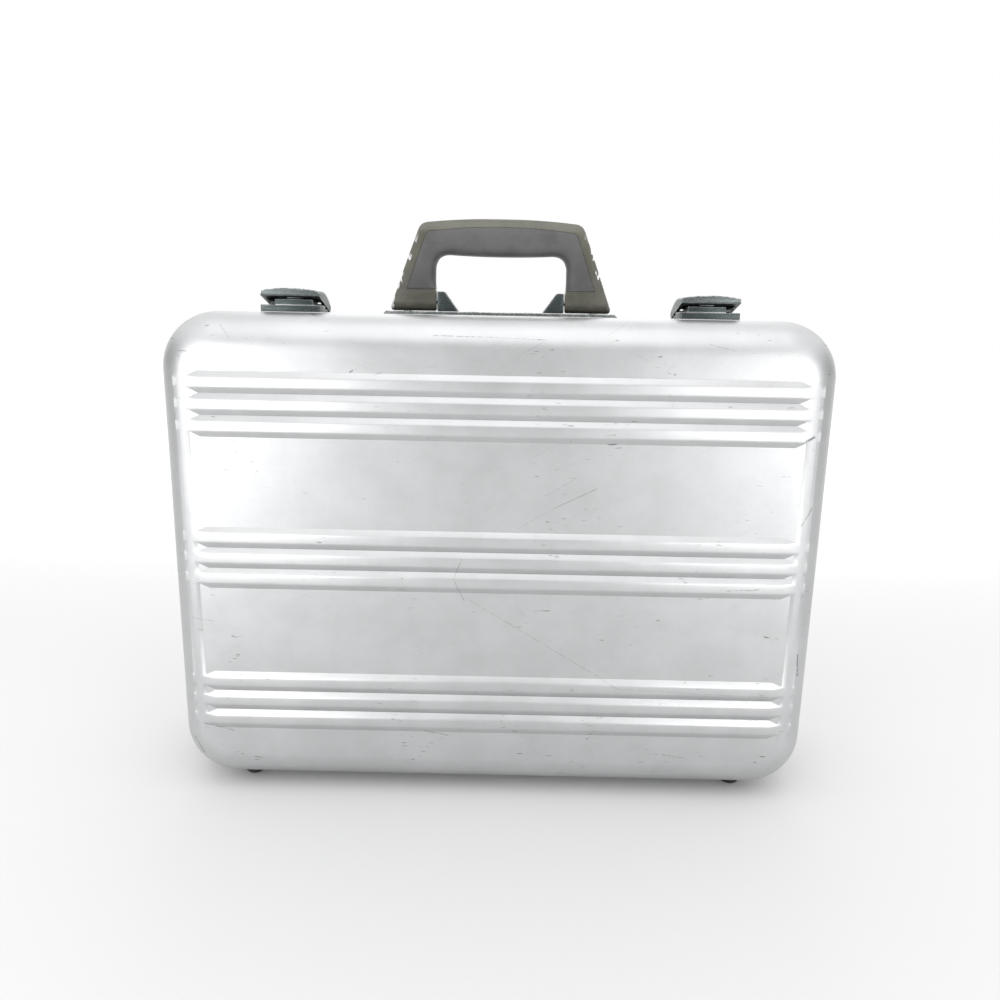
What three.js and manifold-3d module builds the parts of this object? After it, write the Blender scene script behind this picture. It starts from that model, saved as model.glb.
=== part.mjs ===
// Aluminium attache case, built as a three.js scene graph.
// Units are millimetres and +Z is up. The case stands on its feet: the origin is on the ground, under the
// middle of the case. The lid is on the -Y side, the body on the +Y side, the parting plane between them.
import * as THREE from "three";
import { mergeVertices } from "three/addons/utils/BufferGeometryUtils.js";
import Module from "manifold-3d";

const wasm = await Module();
wasm.setup();

// ---- Driving dimensions ---------------------------------------------------------------------------------
const CASE_W = 457; // along X
const CASE_H = 339; // along Z, without the feet
const CASE_D = 127; // along Y, over the ribs of both faces
const LID_D = 50; // share of the depth that belongs to the lid
const CORNER_R = 39; // corner of the outline seen from the front
const EDGE_R = 23; // rounding from a large face into the side walls
const SKIN = 1.5; // drawn sheet thickness
const FOOT_H = 8;
const GAP = 0.3; // running gap between pieces
const PARTING_GAP = 0.6; // between the two frames when the case is shut

const PARTING_Y = -CASE_D / 2 + LID_D;
const MID_Z = FOOT_H + CASE_H / 2;
const TOP_Z = FOOT_H + CASE_H;

const RIB = {
  height: 2.2, flat: 6.5, slope: 4.1, count: 3, full: 400, faded: 432, groupSpacing: 106.5, lift: 2.7,
};
const RIB_PITCH = RIB.flat + 2 * RIB.slope;
const PANEL_Y = CASE_D / 2 - RIB.height; // distance of each flat panel from the middle plane

const FRAME = { web: 1.8, depth: 14, flange: 2.6, reach: 8 };
const SEAL = { width: 3, depth: 1.3 };
const LINING = { thick: 2, gap: 0.6, edgeR: 16, inset: 3 };
const LID_LINING_D = 28;
const BODY_LINING_D = 55;
const POCKET = { half: 188, low: 34, high: 262, thick: 6, cornerR: 14, roundR: 2 };
const CARD = { half: 70, low: 74, high: 184, thick: 3.7, cornerR: 8, roundR: 1.2, x: -92 };

const HINGE = { drop: 4, length: 54, x: 118, knuckleR: 3.2, pinR: 1.5, leaf: 1.5, width: 18, knuckles: 5 };
const HINGE_Z = FOOT_H - HINGE.drop;
const FOOT = { x: 183, inset: 30, r: 8, restR: 5 };

const HANDLE = {
  y: 5.6, footW: 78.8, footZ: 2.8, topW: 56.4, topZ: 63.1, crownZ: 66.6, bootZ: 17.3, bootInner: 46.2,
  innerW: 46, innerTopZ: 42.2, sagZ: 41.2, thick: 20, bootThick: 14.4, pivotZ: 10,
};
const SPINE = { thick: 6.8, foot: 52, top: 48, topZ: 46, seat: 0.6 };
const HANDLE_PIN = { r: 2, boreR: 2.4, length: 19, x: 50.4 };
const GRIP = { foot: 67.2, shoulder: 65.5, brow: 53.7, crown: 48, crownRise: 6, proud: 0.5 };
const EAR = { outer: 45.6, top: 39.6, foot: 30.3, topZ: 16.4, thick: 16 };
const PLATE = { half: 83, width: 32, thick: 2.4, slant: 2.2 };

const LATCH = {
  inboard: 122.8, outboard: 163, front: -33.3, baseH: 4.9, blockH: 8.8, underZ: 11, wall: 2.4, plateH: 2.3,
};
const LATCH_X = (LATCH.inboard + LATCH.outboard) / 2;
const LEVER_PIN = { y: 0.6, z: 3.5, r: 1.3, eyeR: 3 };
const BARREL = { y: -18, r: 4.2, low: 9.6, top: 15, keyway: 5.2 };
const TOOTH = { from: -7, to: 3, front: 5.4, back: 8.4, clearance: 0.5 };

const STAY = { x: 213, offset: 9, arm: 82, width: 10, thick: 2, rivetR: 2, shoulderR: 3.6 };
const FAR = 200; // a length beyond every piece, for cutting bodies

// ---- Materials ------------------------------------------------------------------------------------------
function material(color, roughness, metalness) {
  return new THREE.MeshStandardMaterial({ color, roughness, metalness });
}
const SATIN_ALUMINIUM = material(0xd9dadc, 0.42, 1);
const FRAME_ALUMINIUM = material(0xc4c7ca, 0.35, 1);
const ZINC = material(0x6c7a7c, 0.4, 1);
const STEEL = material(0xb0b4b6, 0.3, 1);
const OLIVE_PLASTIC = material(0x6b6c60, 0.45, 0);
const GREY_GRIP = material(0x77767a, 0.7, 0);
const RUBBER = material(0x2c2d2e, 0.8, 0);
const LINING_CLOTH = material(0x3a3b40, 0.95, 0);

// ---- Solids ---------------------------------------------------------------------------------------------
function solid(geometry) {
  const bare = geometry.clone();
  bare.deleteAttribute("normal");
  bare.deleteAttribute("uv");
  const merged = mergeVertices(bare, 1e-3);
  const mesh = new wasm.Mesh({
    numProp: 3,
    vertProperties: merged.attributes.position.array,
    triVerts: new Uint32Array(merged.index.array),
  });
  return new wasm.Manifold(mesh);
}

function geometryOf(made) {
  const mesh = made.getMesh();
  const geometry = new THREE.BufferGeometry();
  geometry.setAttribute("position", new THREE.BufferAttribute(mesh.vertProperties, 3));
  geometry.setIndex(new THREE.BufferAttribute(mesh.triVerts, 1));
  return geometry;
}

// A box between two corners.
function box(x0, y0, z0, x1, y1, z1) {
  const geometry = new THREE.BoxGeometry(Math.abs(x1 - x0), Math.abs(y1 - y0), Math.abs(z1 - z0));
  return solid(geometry.translate((x0 + x1) / 2, (y0 + y1) / 2, (z0 + z1) / 2));
}

// A cylinder along X, Y or Z, centred on a point.
function rod(axis, radius, length, x, y, z, sides = 20) {
  const geometry = new THREE.CylinderGeometry(radius, radius, length, sides);
  if (axis === "x") geometry.rotateZ(Math.PI / 2);
  if (axis === "z") geometry.rotateX(Math.PI / 2);
  return solid(geometry.translate(x, y, z));
}

// A shape drawn in X and Z, extruded along Y from yFrom to yTo. Its edges are rounded when roundR is given.
function extrudeY(shape, yFrom, yTo, { roundR = 0, steps = 4, curve = 6 } = {}) {
  const depth = Math.abs(yTo - yFrom) - 2 * roundR;
  const geometry = new THREE.ExtrudeGeometry(shape, {
    depth,
    curveSegments: curve,
    bevelEnabled: roundR > 0,
    bevelThickness: roundR,
    bevelSize: roundR,
    bevelOffset: -roundR,
    bevelSegments: steps,
  });
  geometry.rotateX(Math.PI / 2).translate(0, Math.max(yFrom, yTo) - roundR, 0);
  return solid(geometry);
}

// A shape drawn in Y and Z, extruded along X.
function extrudeX(shape, xFrom, xTo, curve = 6) {
  const geometry = new THREE.ExtrudeGeometry(shape, {
    depth: Math.abs(xTo - xFrom),
    curveSegments: curve,
    bevelEnabled: false,
  });
  const turn = new THREE.Matrix4().set(0, 0, 1, Math.min(xFrom, xTo), 1, 0, 0, 0, 0, 1, 0, 0, 0, 0, 0, 1);
  return solid(geometry.applyMatrix4(turn));
}

// A rectangle with rounded corners, in X and Z.
function roundedRect(half, low, high, r) {
  const shape = new THREE.Shape();
  shape.moveTo(-half + r, low);
  shape.lineTo(half - r, low);
  shape.absarc(half - r, low + r, r, -Math.PI / 2, 0);
  shape.lineTo(half, high - r);
  shape.absarc(half - r, high - r, r, 0, Math.PI / 2);
  shape.lineTo(-half + r, high);
  shape.absarc(-half + r, high - r, r, Math.PI / 2, Math.PI);
  shape.lineTo(-half, low + r);
  shape.absarc(-half + r, low + r, r, Math.PI, Math.PI * 1.5);
  return shape;
}

// The outline of the case, shrunk by an inset.
function outline(inset) {
  return roundedRect(CASE_W / 2 - inset, FOOT_H + inset, TOP_Z - inset, Math.max(CORNER_R - inset, 2));
}

function polygon(points) {
  return new THREE.Shape(points.map(([a, b]) => new THREE.Vector2(a, b)));
}

// A space that takes everything from a Y station outward, on the side that direction points to.
function beyond(y, direction) {
  return box(-CASE_W, y, -CASE_H, CASE_W, y + direction * FAR, 2 * CASE_H);
}

const root = new THREE.Group();

// Adds one named piece to the assembly.
function add(name, made, look) {
  const mesh = new THREE.Mesh(geometryOf(made), look);
  mesh.name = name;
  root.add(mesh);
}

// Adds a piece and its mirror image across X = 0, as NAME_right and NAME_left.
function addPair(name, made, look) {
  add(`${name}_right`, made, look);
  add(`${name}_left`, made.mirror([1, 0, 0]), look);
}

// ---- Drawn shells ---------------------------------------------------------------------------------------
// side is -1 for the lid and 1 for the body. Both are pressed with three groups of flat-topped ribs.
function shell(side) {
  const rim = PARTING_Y + (side * PARTING_GAP) / 2 + side * FRAME.flange;
  const face = side * PANEL_Y;
  const slab = (inset, edgeR) => extrudeY(outline(inset), side * (PANEL_Y - inset), rim - side * 60, {
    roundR: edgeR, steps: 5, curve: 7,
  });
  const outer = slab(0, EDGE_R).subtract(beyond(rim, -side));
  const inner = slab(SKIN, EDGE_R - SKIN);
  return ribs(side, face, outer).subtract(inner);
}

function ribs(side, face, outer) {
  const base = RIB.flat / 2 + RIB.slope;
  const low = face - side * SKIN * 0.6;
  const crest = face + side * RIB.height;
  let made = outer;
  for (let group = -1; group <= 1; group++) {
    for (let n = 0; n < RIB.count; n++) {
      const z = MID_Z + RIB.lift + group * RIB.groupSpacing + (n - (RIB.count - 1) / 2) * RIB_PITCH;
      const section = polygon([
        [low, z - base], [face, z - base], [crest, z - RIB.flat / 2],
        [crest, z + RIB.flat / 2], [face, z + base], [low, z + base],
      ]);
      made = made.add(extrudeX(section, -RIB.faded / 2, RIB.faded / 2).intersect(ribTrim(face, crest)));
    }
  }
  return made;
}

// Ribs run out into the rounded edge instead of ending in a square step.
function ribTrim(face, crest) {
  const drop = face - (crest - face) * 0.91;
  const deep = face - (crest - face) * 3;
  const plan = polygon([
    [-RIB.full / 2, crest], [RIB.full / 2, crest], [RIB.faded / 2, drop], [RIB.faded / 2, deep],
    [-RIB.faded / 2, deep], [-RIB.faded / 2, drop],
  ]);
  const geometry = new THREE.ExtrudeGeometry(plan, { depth: TOP_Z, bevelEnabled: false });
  return solid(geometry);
}

add("body_shell", shell(1), SATIN_ALUMINIUM);
add("lid_shell", shell(-1), SATIN_ALUMINIUM);

// ---- Frames, seal and linings ---------------------------------------------------------------------------
// Each frame is an L section: a web riveted inside the shell's rim, and a flange that covers the rim.
function frameRing(side) {
  const mating = PARTING_Y + (side * PARTING_GAP) / 2;
  const flangeEnd = mating + side * FRAME.flange;
  const webEnd = mating + side * FRAME.depth;
  const flange = extrudeY(outline(0), mating, flangeEnd - side * GAP)
    .subtract(extrudeY(outline(FRAME.reach), mating - side * 5, flangeEnd + side * 5));
  const webOuter = SKIN + GAP;
  const web = extrudeY(outline(webOuter), mating + side * 0.5, webEnd)
    .subtract(extrudeY(outline(webOuter + FRAME.web), mating - side * 5, webEnd + side * 5));
  return flange.add(web);
}

function ring(outerInset, innerInset, yFrom, yTo) {
  return extrudeY(outline(outerInset), yFrom, yTo)
    .subtract(extrudeY(outline(innerInset), Math.min(yFrom, yTo) - 5, Math.max(yFrom, yTo) + 5));
}

const SEAL_INSET = 3.2;
const bodyMating = PARTING_Y + PARTING_GAP / 2;
const lidMating = PARTING_Y - PARTING_GAP / 2;
const groove = ring(SEAL_INSET - GAP, SEAL_INSET + SEAL.width + GAP, bodyMating - 1, bodyMating + SEAL.depth);
add("body_frame", frameRing(1).subtract(groove), FRAME_ALUMINIUM);
add("lid_frame", frameRing(-1), FRAME_ALUMINIUM);
add("seal_gasket",
  ring(SEAL_INSET, SEAL_INSET + SEAL.width, lidMating + GAP, bodyMating + SEAL.depth - GAP), RUBBER);

// A lining is a shallow pan of cloth-covered board that stands off the parting plane, clear of the stays.
function lining(side, depth) {
  const floor = side * (PANEL_Y - SKIN - LINING.gap);
  const inset = SKIN + LINING.gap;
  const pan = (extra) => extrudeY(outline(inset + extra), floor - side * extra, floor - side * (depth + 60), {
    roundR: LINING.edgeR - extra, steps: 3, curve: 4,
  });
  const hollow = pan(LINING.inset + LINING.thick);
  return pan(LINING.inset).subtract(beyond(floor - side * depth, -side)).subtract(hollow);
}

add("body_lining", lining(1, BODY_LINING_D), LINING_CLOTH);
add("lid_lining", lining(-1, LID_LINING_D), LINING_CLOTH);

// ---- Lid organiser: a hanging file pocket on the lid lining ---------------------------------------------
// Heights of both pockets are over the bottom wall.
function pocket({ half, low, high, thick, cornerR, roundR }, back) {
  const shape = roundedRect(half, FOOT_H + low, FOOT_H + high, cornerR);
  return extrudeY(shape, back, back + thick, { roundR, steps: 2, curve: 3 });
}

const pocketBack = -PANEL_Y + SKIN + LINING.gap + LINING.inset + 2 * LINING.thick;
add("file_pocket", pocket(POCKET, pocketBack), LINING_CLOTH);
add("card_pocket", pocket(CARD, pocketBack + POCKET.thick + GAP).translate(CARD.x, 0, 0), LINING_CLOTH);

// ---- Hinges on the bottom wall --------------------------------------------------------------------------
// Each hinge has a leaf on the body and a leaf on the lid with interleaved knuckles, and a loose pin.
function hingeLeaf(side) {
  const span = HINGE.length / HINGE.knuckles;
  const first = side > 0 ? 0 : 1;
  const low = FOOT_H - GAP - HINGE.leaf;
  const high = FOOT_H - GAP;
  const clearOfAxis = PARTING_Y + side * (HINGE.knuckleR + 1.2);
  const x0 = HINGE.x - HINGE.length / 2;
  let made = box(x0, clearOfAxis, low, x0 + HINGE.length, PARTING_Y + side * (HINGE.width + 4), high);
  for (let n = first; n < HINGE.knuckles; n += 2) {
    const from = x0 + n * span + GAP;
    const to = x0 + (n + 1) * span - GAP;
    made = made.add(rod("x", HINGE.knuckleR, to - from, (from + to) / 2, PARTING_Y, HINGE_Z));
    const top = HINGE_Z + HINGE.knuckleR;
    made = made.add(box(from, PARTING_Y + side * 0.5, top - HINGE.leaf, to, clearOfAxis + side, top));
  }
  return made.subtract(rod("x", HINGE.pinR + 0.4, HINGE.length + 4, HINGE.x, PARTING_Y, HINGE_Z));
}
addPair("hinge_leaf_body", hingeLeaf(1), STEEL);
addPair("hinge_leaf_lid", hingeLeaf(-1), STEEL);
addPair("hinge_pin", rod("x", HINGE.pinR, HINGE.length + 1, HINGE.x, PARTING_Y, HINGE_Z, 16), STEEL);

// ---- Feet -----------------------------------------------------------------------------------------------
function foot(y) {
  const top = FOOT_H - GAP;
  const profile = [[0, 0], [FOOT.restR, 0], [6.6, 0.9], [FOOT.r, 3.4], [FOOT.r, top], [0, top]];
  const turned = new THREE.LatheGeometry(profile.map(([r, z]) => new THREE.Vector2(r, z)), 24);
  return solid(turned.rotateX(Math.PI / 2)).translate(FOOT.x, y, 0);
}
addPair("foot_lid", foot(-PANEL_Y + FOOT.inset), RUBBER);
addPair("foot_body", foot(PANEL_Y - FOOT.inset), RUBBER);

// ---- Handle ---------------------------------------------------------------------------------------------
// Heights below are over the top wall, and half widths are from the middle of the handle.
function handleOutline() {
  const h = HANDLE;
  const shape = new THREE.Shape();
  shape.moveTo(h.footW - 2.5, h.footZ);
  shape.quadraticCurveTo(h.footW + 0.6, h.footZ, h.footW - 0.4, h.footZ + 3.4);
  shape.lineTo(h.topW + 1.2, h.topZ - 2.8);
  shape.quadraticCurveTo(h.topW, h.topZ, h.topW - 3.4, h.topZ + 0.4);
  shape.quadraticCurveTo(0, 2 * h.crownZ - h.topZ - 0.4, -h.topW + 3.4, h.topZ + 0.4);
  shape.quadraticCurveTo(-h.topW, h.topZ, -h.topW - 1.2, h.topZ - 2.8);
  shape.lineTo(-h.footW + 0.4, h.footZ + 3.4);
  shape.quadraticCurveTo(-h.footW - 0.6, h.footZ, -h.footW + 2.5, h.footZ);
  shape.lineTo(-h.bootInner - 2, h.footZ);
  shape.quadraticCurveTo(-h.bootInner, h.footZ, -h.bootInner, h.footZ + 2);
  shape.lineTo(-h.bootInner, h.bootZ - 0.4);
  fingerOpening(shape);
  shape.lineTo(h.bootInner, h.footZ + 2);
  shape.quadraticCurveTo(h.bootInner, h.footZ, h.bootInner + 2, h.footZ);
  return shape;
}

// The inside of the handle, from the boot on -X up, across and down to the boot on +X.
function fingerOpening(shape) {
  const h = HANDLE;
  const r = 8;
  shape.lineTo(-h.bootInner - 1.2, h.bootZ);
  shape.lineTo(-h.innerW - 0.9, h.innerTopZ - r);
  shape.quadraticCurveTo(-h.innerW, h.innerTopZ, r - h.innerW, h.innerTopZ);
  shape.quadraticCurveTo(0, 2 * h.sagZ - h.innerTopZ, h.innerW - r, h.innerTopZ);
  shape.quadraticCurveTo(h.innerW, h.innerTopZ, h.innerW + 0.9, h.innerTopZ - r);
  shape.lineTo(h.bootInner + 1.2, h.bootZ);
}

// The grey insert follows the finger opening and leaves a band of the outer moulding round its top and sides.
// grow widens it all round, for the seat that it lies in.
function gripOutline(grow = 0) {
  const foot = HANDLE.bootZ + 0.6 - grow;
  const shoulder = HANDLE.bootZ + 5;
  const brow = HANDLE.topZ - 9;
  const crown = HANDLE.topZ - 5.6 + grow;
  const shape = new THREE.Shape();
  shape.moveTo(-GRIP.foot - grow, foot);
  shape.lineTo(-GRIP.shoulder - grow, shoulder);
  shape.lineTo(-GRIP.brow - grow, brow);
  shape.quadraticCurveTo(-GRIP.brow + 1.1 - grow, crown, -GRIP.crown, crown);
  shape.quadraticCurveTo(0, crown + GRIP.crownRise, GRIP.crown, crown);
  shape.quadraticCurveTo(GRIP.brow - 1.1 + grow, crown, GRIP.brow + grow, brow);
  shape.lineTo(GRIP.shoulder + grow, shoulder);
  shape.lineTo(GRIP.foot + grow, foot);
  return shape;
}

// The side section of the handle: a round boot about the pivot, a waist and a fuller hand grip.
function handleSection(halfThick, bootR) {
  const pivot = HANDLE.pivotZ;
  const shape = new THREE.Shape();
  shape.absarc(0, pivot, bootR, Math.PI, 2 * Math.PI);
  shape.lineTo(bootR, HANDLE.bootZ);
  shape.quadraticCurveTo(halfThick, 30, halfThick, 44);
  shape.lineTo(halfThick, 56);
  shape.quadraticCurveTo(halfThick - 0.5, 67, 0, 68);
  shape.quadraticCurveTo(-halfThick + 0.5, 67, -halfThick, 56);
  shape.lineTo(-halfThick, 44);
  shape.quadraticCurveTo(-halfThick, 30, -bootR, HANDLE.bootZ);
  return shape;
}

const placeHandle = (made) => made.translate(0, HANDLE.y, TOP_Z);
const fullDepth = (shape) => extrudeY(shape, -20, 20, { curve: 7 });

// The whole handle as one solid, thicker or thinner by twice an amount.
function handleBlank(extra = 0) {
  const side = handleSection(HANDLE.thick / 2 + extra, HANDLE.bootThick / 2 + extra);
  return fullDepth(handleOutline()).intersect(extrudeX(side, -90, 90, 5));
}

// The outer moulding carries an inner spine that the grip is moulded over.
// extra widens it, for the grip's hollow.
function spine(extra = 0) {
  const half = SPINE.thick / 2 + extra;
  const foot = SPINE.foot - extra;
  const top = SPINE.top - extra;
  const high = SPINE.topZ - extra;
  const opening = polygon([[-foot, -extra], [-top, high], [top, high], [foot, -extra]]);
  return extrudeY(handleOutline(), -half, half, { curve: 7 }).subtract(fullDepth(opening));
}

function handleShell() {
  const bore = (side) => rod("x", HANDLE_PIN.boreR, 18, side * 52, 0, HANDLE.pivotZ, 16);
  const seat = fullDepth(gripOutline(GAP)).subtract(spine());
  return handleBlank().subtract(seat).subtract(bore(1)).subtract(bore(-1));
}

const handleGrip = handleBlank(GRIP.proud).intersect(fullDepth(gripOutline())).subtract(spine(SPINE.seat));
const handlePin = rod("x", HANDLE_PIN.r, HANDLE_PIN.length, HANDLE_PIN.x, 0, HANDLE.pivotZ, 16);
add("handle_shell", placeHandle(handleShell()), OLIVE_PLASTIC);
add("handle_grip", placeHandle(handleGrip), GREY_GRIP);
addPair("handle_pin", placeHandle(handlePin), STEEL);

const ear = extrudeY(polygon([
  [EAR.foot, PLATE.thick + GAP], [EAR.top, EAR.topZ],
  [EAR.outer - 0.6, EAR.topZ], [EAR.outer - 0.4, PLATE.thick + GAP],
]), -EAR.thick / 2, EAR.thick / 2).subtract(rod("x", HANDLE_PIN.boreR, 30, 44, 0, HANDLE.pivotZ, 16));
addPair("handle_ear", placeHandle(ear), ZINC);

const plate = extrudeY(polygon([
  [-PLATE.half, GAP], [PLATE.half, GAP],
  [PLATE.half - PLATE.slant, PLATE.thick], [-PLATE.half + PLATE.slant, PLATE.thick],
]), -PLATE.width / 2, PLATE.width / 2);
add("handle_plate", placeHandle(plate), ZINC);

// ---- Latches --------------------------------------------------------------------------------------------
// The right-hand latch is modelled and mirrored. Heights are over the top wall. The lever is a hood hinged
// at its back on the body; its lip stands over the keeper on the lid and leaves a finger gap below it.
const onTop = (made) => made.translate(0, 0, TOP_Z);

function latchPin(r, from, to, sides = 16) {
  return rod("x", r, to - from, (from + to) / 2, LEVER_PIN.y, LEVER_PIN.z, sides);
}

// The keeper on the lid: a foot plate, and a raised block whose slot takes the lever's tooth.
function keeper() {
  const { inboard, outboard, front, baseH, blockH } = LATCH;
  const back = PARTING_Y - 0.6;
  const base = extrudeY(polygon([
    [inboard, GAP], [outboard, GAP], [outboard, baseH - 0.8], [outboard - 0.8, baseH],
    [inboard + 0.8, baseH], [inboard, baseH - 0.8],
  ]), front, back);
  const block = box(inboard + 5, front + 2.6, baseH - 1, outboard - 9, back, blockH);
  const slot = box(LATCH_X - 9, front + 4.4, blockH - 2.2, LATCH_X + 5, front + 10, blockH + 1);
  return base.add(block).subtract(slot);
}

// The base on the body, with a rounded boss between the lever's cheeks for its pin.
function latchBase() {
  const { inboard, outboard, baseH, wall } = LATCH;
  const front = PARTING_Y + 0.6;
  const plate = box(inboard + 0.4, front, GAP, outboard - 0.4, LEVER_PIN.y - 5.6, LATCH.plateH);
  const bossShape = new THREE.Shape();
  bossShape.moveTo(front, GAP);
  bossShape.lineTo(LEVER_PIN.y - 1, GAP);
  bossShape.absarc(LEVER_PIN.y, LEVER_PIN.z, LEVER_PIN.eyeR - 0.1, -Math.PI / 2, Math.PI / 2);
  bossShape.lineTo(front, baseH);
  const boss = extrudeX(bossShape, inboard + wall + 0.5, outboard - wall - 0.5);
  return plate.add(boss).subtract(latchPin(LEVER_PIN.r + GAP, inboard, outboard));
}

// The side of the lever's hood, in Y and Z: a lip at the front, a long fall, and an eye about the pin.
function hoodSide() {
  const { front, underZ } = LATCH;
  const shape = new THREE.Shape();
  shape.moveTo(front, underZ + 1);
  shape.lineTo(front + 0.6, underZ);
  shape.lineTo(LEVER_PIN.y - 2.2, LEVER_PIN.z - 1.8);
  shape.absarc(LEVER_PIN.y, LEVER_PIN.z, LEVER_PIN.eyeR, Math.PI + 0.68, 2 * Math.PI + 0.3);
  shape.quadraticCurveTo(1.6, 6.4, -3, 8.8);
  shape.quadraticCurveTo(-12, 13.2, -22, 15.4);
  shape.quadraticCurveTo(-28, 16.6, front + 1, 16.6);
  shape.quadraticCurveTo(front, 16.6, front, 15.6);
  return shape;
}

// The front of the hood, in X and Z: a crowned top with rounded shoulders.
function hoodFront() {
  const { inboard, outboard } = LATCH;
  const shape = new THREE.Shape();
  shape.moveTo(inboard, 0);
  shape.lineTo(inboard, 12.6);
  shape.quadraticCurveTo(inboard, 14.3, inboard + 1.4, 14.5);
  shape.quadraticCurveTo(LATCH_X, 17.7, outboard - 1.4, 14.5);
  shape.quadraticCurveTo(outboard, 14.3, outboard, 12.6);
  shape.lineTo(outboard - 0.6, 0);
  return shape;
}

// The hollow of the hood, between its cheeks, from the back of the lip to the eye.
function hoodHollow() {
  const { inboard, outboard, front, wall, underZ } = LATCH;
  const hollow = polygon([
    [front + 5, -1], [front + 5, underZ + 0.4], [-24, 12.4], [-14, 10.6], [-6, 7.4], [0, 7], [8, 7], [8, -1],
  ]);
  return extrudeX(hollow, inboard + wall, outboard - wall)
    .add(latchPin(LEVER_PIN.eyeR + 0.4, inboard + wall, outboard - wall, 24));
}

function lever() {
  const { inboard, outboard, front, blockH, underZ } = LATCH;
  const hood = extrudeX(hoodSide(), inboard, outboard)
    .intersect(extrudeY(hoodFront(), front - 1, 8))
    .subtract(hoodHollow());
  const barrelBoss = rod("z", BARREL.r + 1.6, 4, LATCH_X, BARREL.y, 11.6).intersect(
    extrudeX(hoodSide(), inboard, outboard));
  const toothBlock = (y, z) => box(LATCH_X + TOOTH.from, y, z,
    LATCH_X + TOOTH.to, front + TOOTH.back, underZ + 1.8);
  const tooth = toothBlock(front + TOOTH.front, blockH + TOOTH.clearance);
  const toothRoot = toothBlock(front + 4, underZ);
  return hood.add(barrelBoss).add(tooth).add(toothRoot)
    .subtract(latchPin(LEVER_PIN.r + GAP, inboard - 1, outboard + 1))
    .subtract(rod("z", BARREL.r + GAP, 30, LATCH_X, BARREL.y, 12, 24));
}

// The key barrel stands in the lever's bore and turns a quarter.
function lockBarrel() {
  const { y, r, low, top, keyway } = BARREL;
  const barrel = rod("z", r, top - low, LATCH_X, y, (top + low) / 2, 24);
  const half = keyway / 2;
  return barrel.subtract(box(LATCH_X - half, y - 0.5, top - 2.4, LATCH_X + half, y + 0.5, top + 1));
}

// A bent strip that lies on the base's boss and presses up under the hood.
const spring = extrudeX(polygon([
  [-12.6, 5.3], [-9, 5.7], [-7, 6.6], [-7, 7.1], [-9.3, 6.2], [-12.6, 5.8],
]), LATCH_X - 8, LATCH_X + 8);

addPair("latch_keeper", onTop(keeper()), ZINC);
addPair("latch_base", onTop(latchBase()), ZINC);
addPair("latch_lever", onTop(lever()), ZINC);
addPair("lever_pin", onTop(latchPin(LEVER_PIN.r, LATCH.inboard + 0.4, LATCH.outboard - 0.4)), STEEL);
addPair("lever_spring", onTop(spring), STEEL);
addPair("lock_barrel", onTop(lockBarrel()), STEEL);

// ---- Lid stays ------------------------------------------------------------------------------------------
// On each side two equal links join the body to the lid. With the hinge axis they make a parallelogram, so
// the lower link keeps parallel to the lid's radius and the upper one to the body's, at every angle.
const stayBody = { y: PARTING_Y + STAY.offset, z: HINGE_Z + STAY.arm };
const stayLid = { y: PARTING_Y - STAY.offset, z: HINGE_Z + STAY.arm };
const stayElbow = { y: PARTING_Y, z: HINGE_Z + 2 * STAY.arm };

// A flat link with round ends between two points of a side plane, with an eye at each end.
function link(from, to, x) {
  const half = STAY.width / 2;
  const length = Math.hypot(to.y - from.y, to.z - from.z);
  const shape = new THREE.Shape();
  shape.absarc(0, 0, half, Math.PI, 2 * Math.PI);
  shape.lineTo(half, length);
  shape.absarc(0, length, half, 0, Math.PI);
  const turn = -Math.atan2(to.y - from.y, to.z - from.z) * (180 / Math.PI);
  const eye = (z) => rod("x", STAY.rivetR + 0.4, 20, 0, 0, z, 16);
  return extrudeX(shape, -STAY.thick / 2, STAY.thick / 2)
    .subtract(eye(0)).subtract(eye(length))
    .rotate([turn, 0, 0]).translate(x, from.y, from.z);
}
const innerLayer = STAY.x - STAY.thick / 2 - 0.2;
const outerLayer = STAY.x + STAY.thick / 2 + 0.2;
addPair("stay_link_body", link(stayBody, stayElbow, outerLayer), STEEL);
addPair("stay_link_lid", link(stayLid, stayElbow, innerLayer), STEEL);

// A rivet with a head at each end, through whatever lies between xFrom and xTo.
function rivet(point, xFrom, xTo) {
  const shank = rod("x", STAY.rivetR, xTo - xFrom, (xFrom + xTo) / 2, point.y, point.z, 14);
  const head = (x) => rod("x", STAY.rivetR + 1.6, 1, x, point.y, point.z, 14);
  return shank.add(head(xFrom)).add(head(xTo));
}
addPair("stay_elbow_rivet", rivet(stayElbow, STAY.x - 3, STAY.x + 3), STEEL);

// The brackets stand in from the frames' webs and carry a stud for each link's free end.
function stayBracket(point, side, linkX) {
  const wall = CASE_W / 2 - SKIN - FRAME.web - 2 * GAP - 0.2;
  const mating = PARTING_Y + side * (PARTING_GAP / 2 + FRAME.flange + 0.4);
  const plateEnd = point.y + side * 5;
  const pad = box(wall - 2, mating, point.z - 9, wall, plateEnd, point.z + 9);
  const reach = linkX - STAY.thick / 2 - 0.1;
  const stud = rod("x", STAY.rivetR, wall - reach, (wall + reach) / 2, point.y, point.z, 14);
  const from = linkX + STAY.thick / 2 + GAP;
  const to = wall - 1;
  const shoulder = rod("x", STAY.shoulderR, to - from, (from + to) / 2, point.y, point.z, 14);
  return pad.add(stud).add(shoulder);
}
addPair("stay_bracket_body", stayBracket(stayBody, 1, outerLayer), STEEL);
addPair("stay_bracket_lid", stayBracket(stayLid, -1, innerLayer), STEEL);

export default root;
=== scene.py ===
"""Looks of an aluminium attache case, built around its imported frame.

Every visible sub-assembly is a dataclass with a ``build`` method. Sizes are in metres, in the frame's own
axes: +X along the case, +Y from the lid to the body, +Z up, with the ground at zero.
"""

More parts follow.
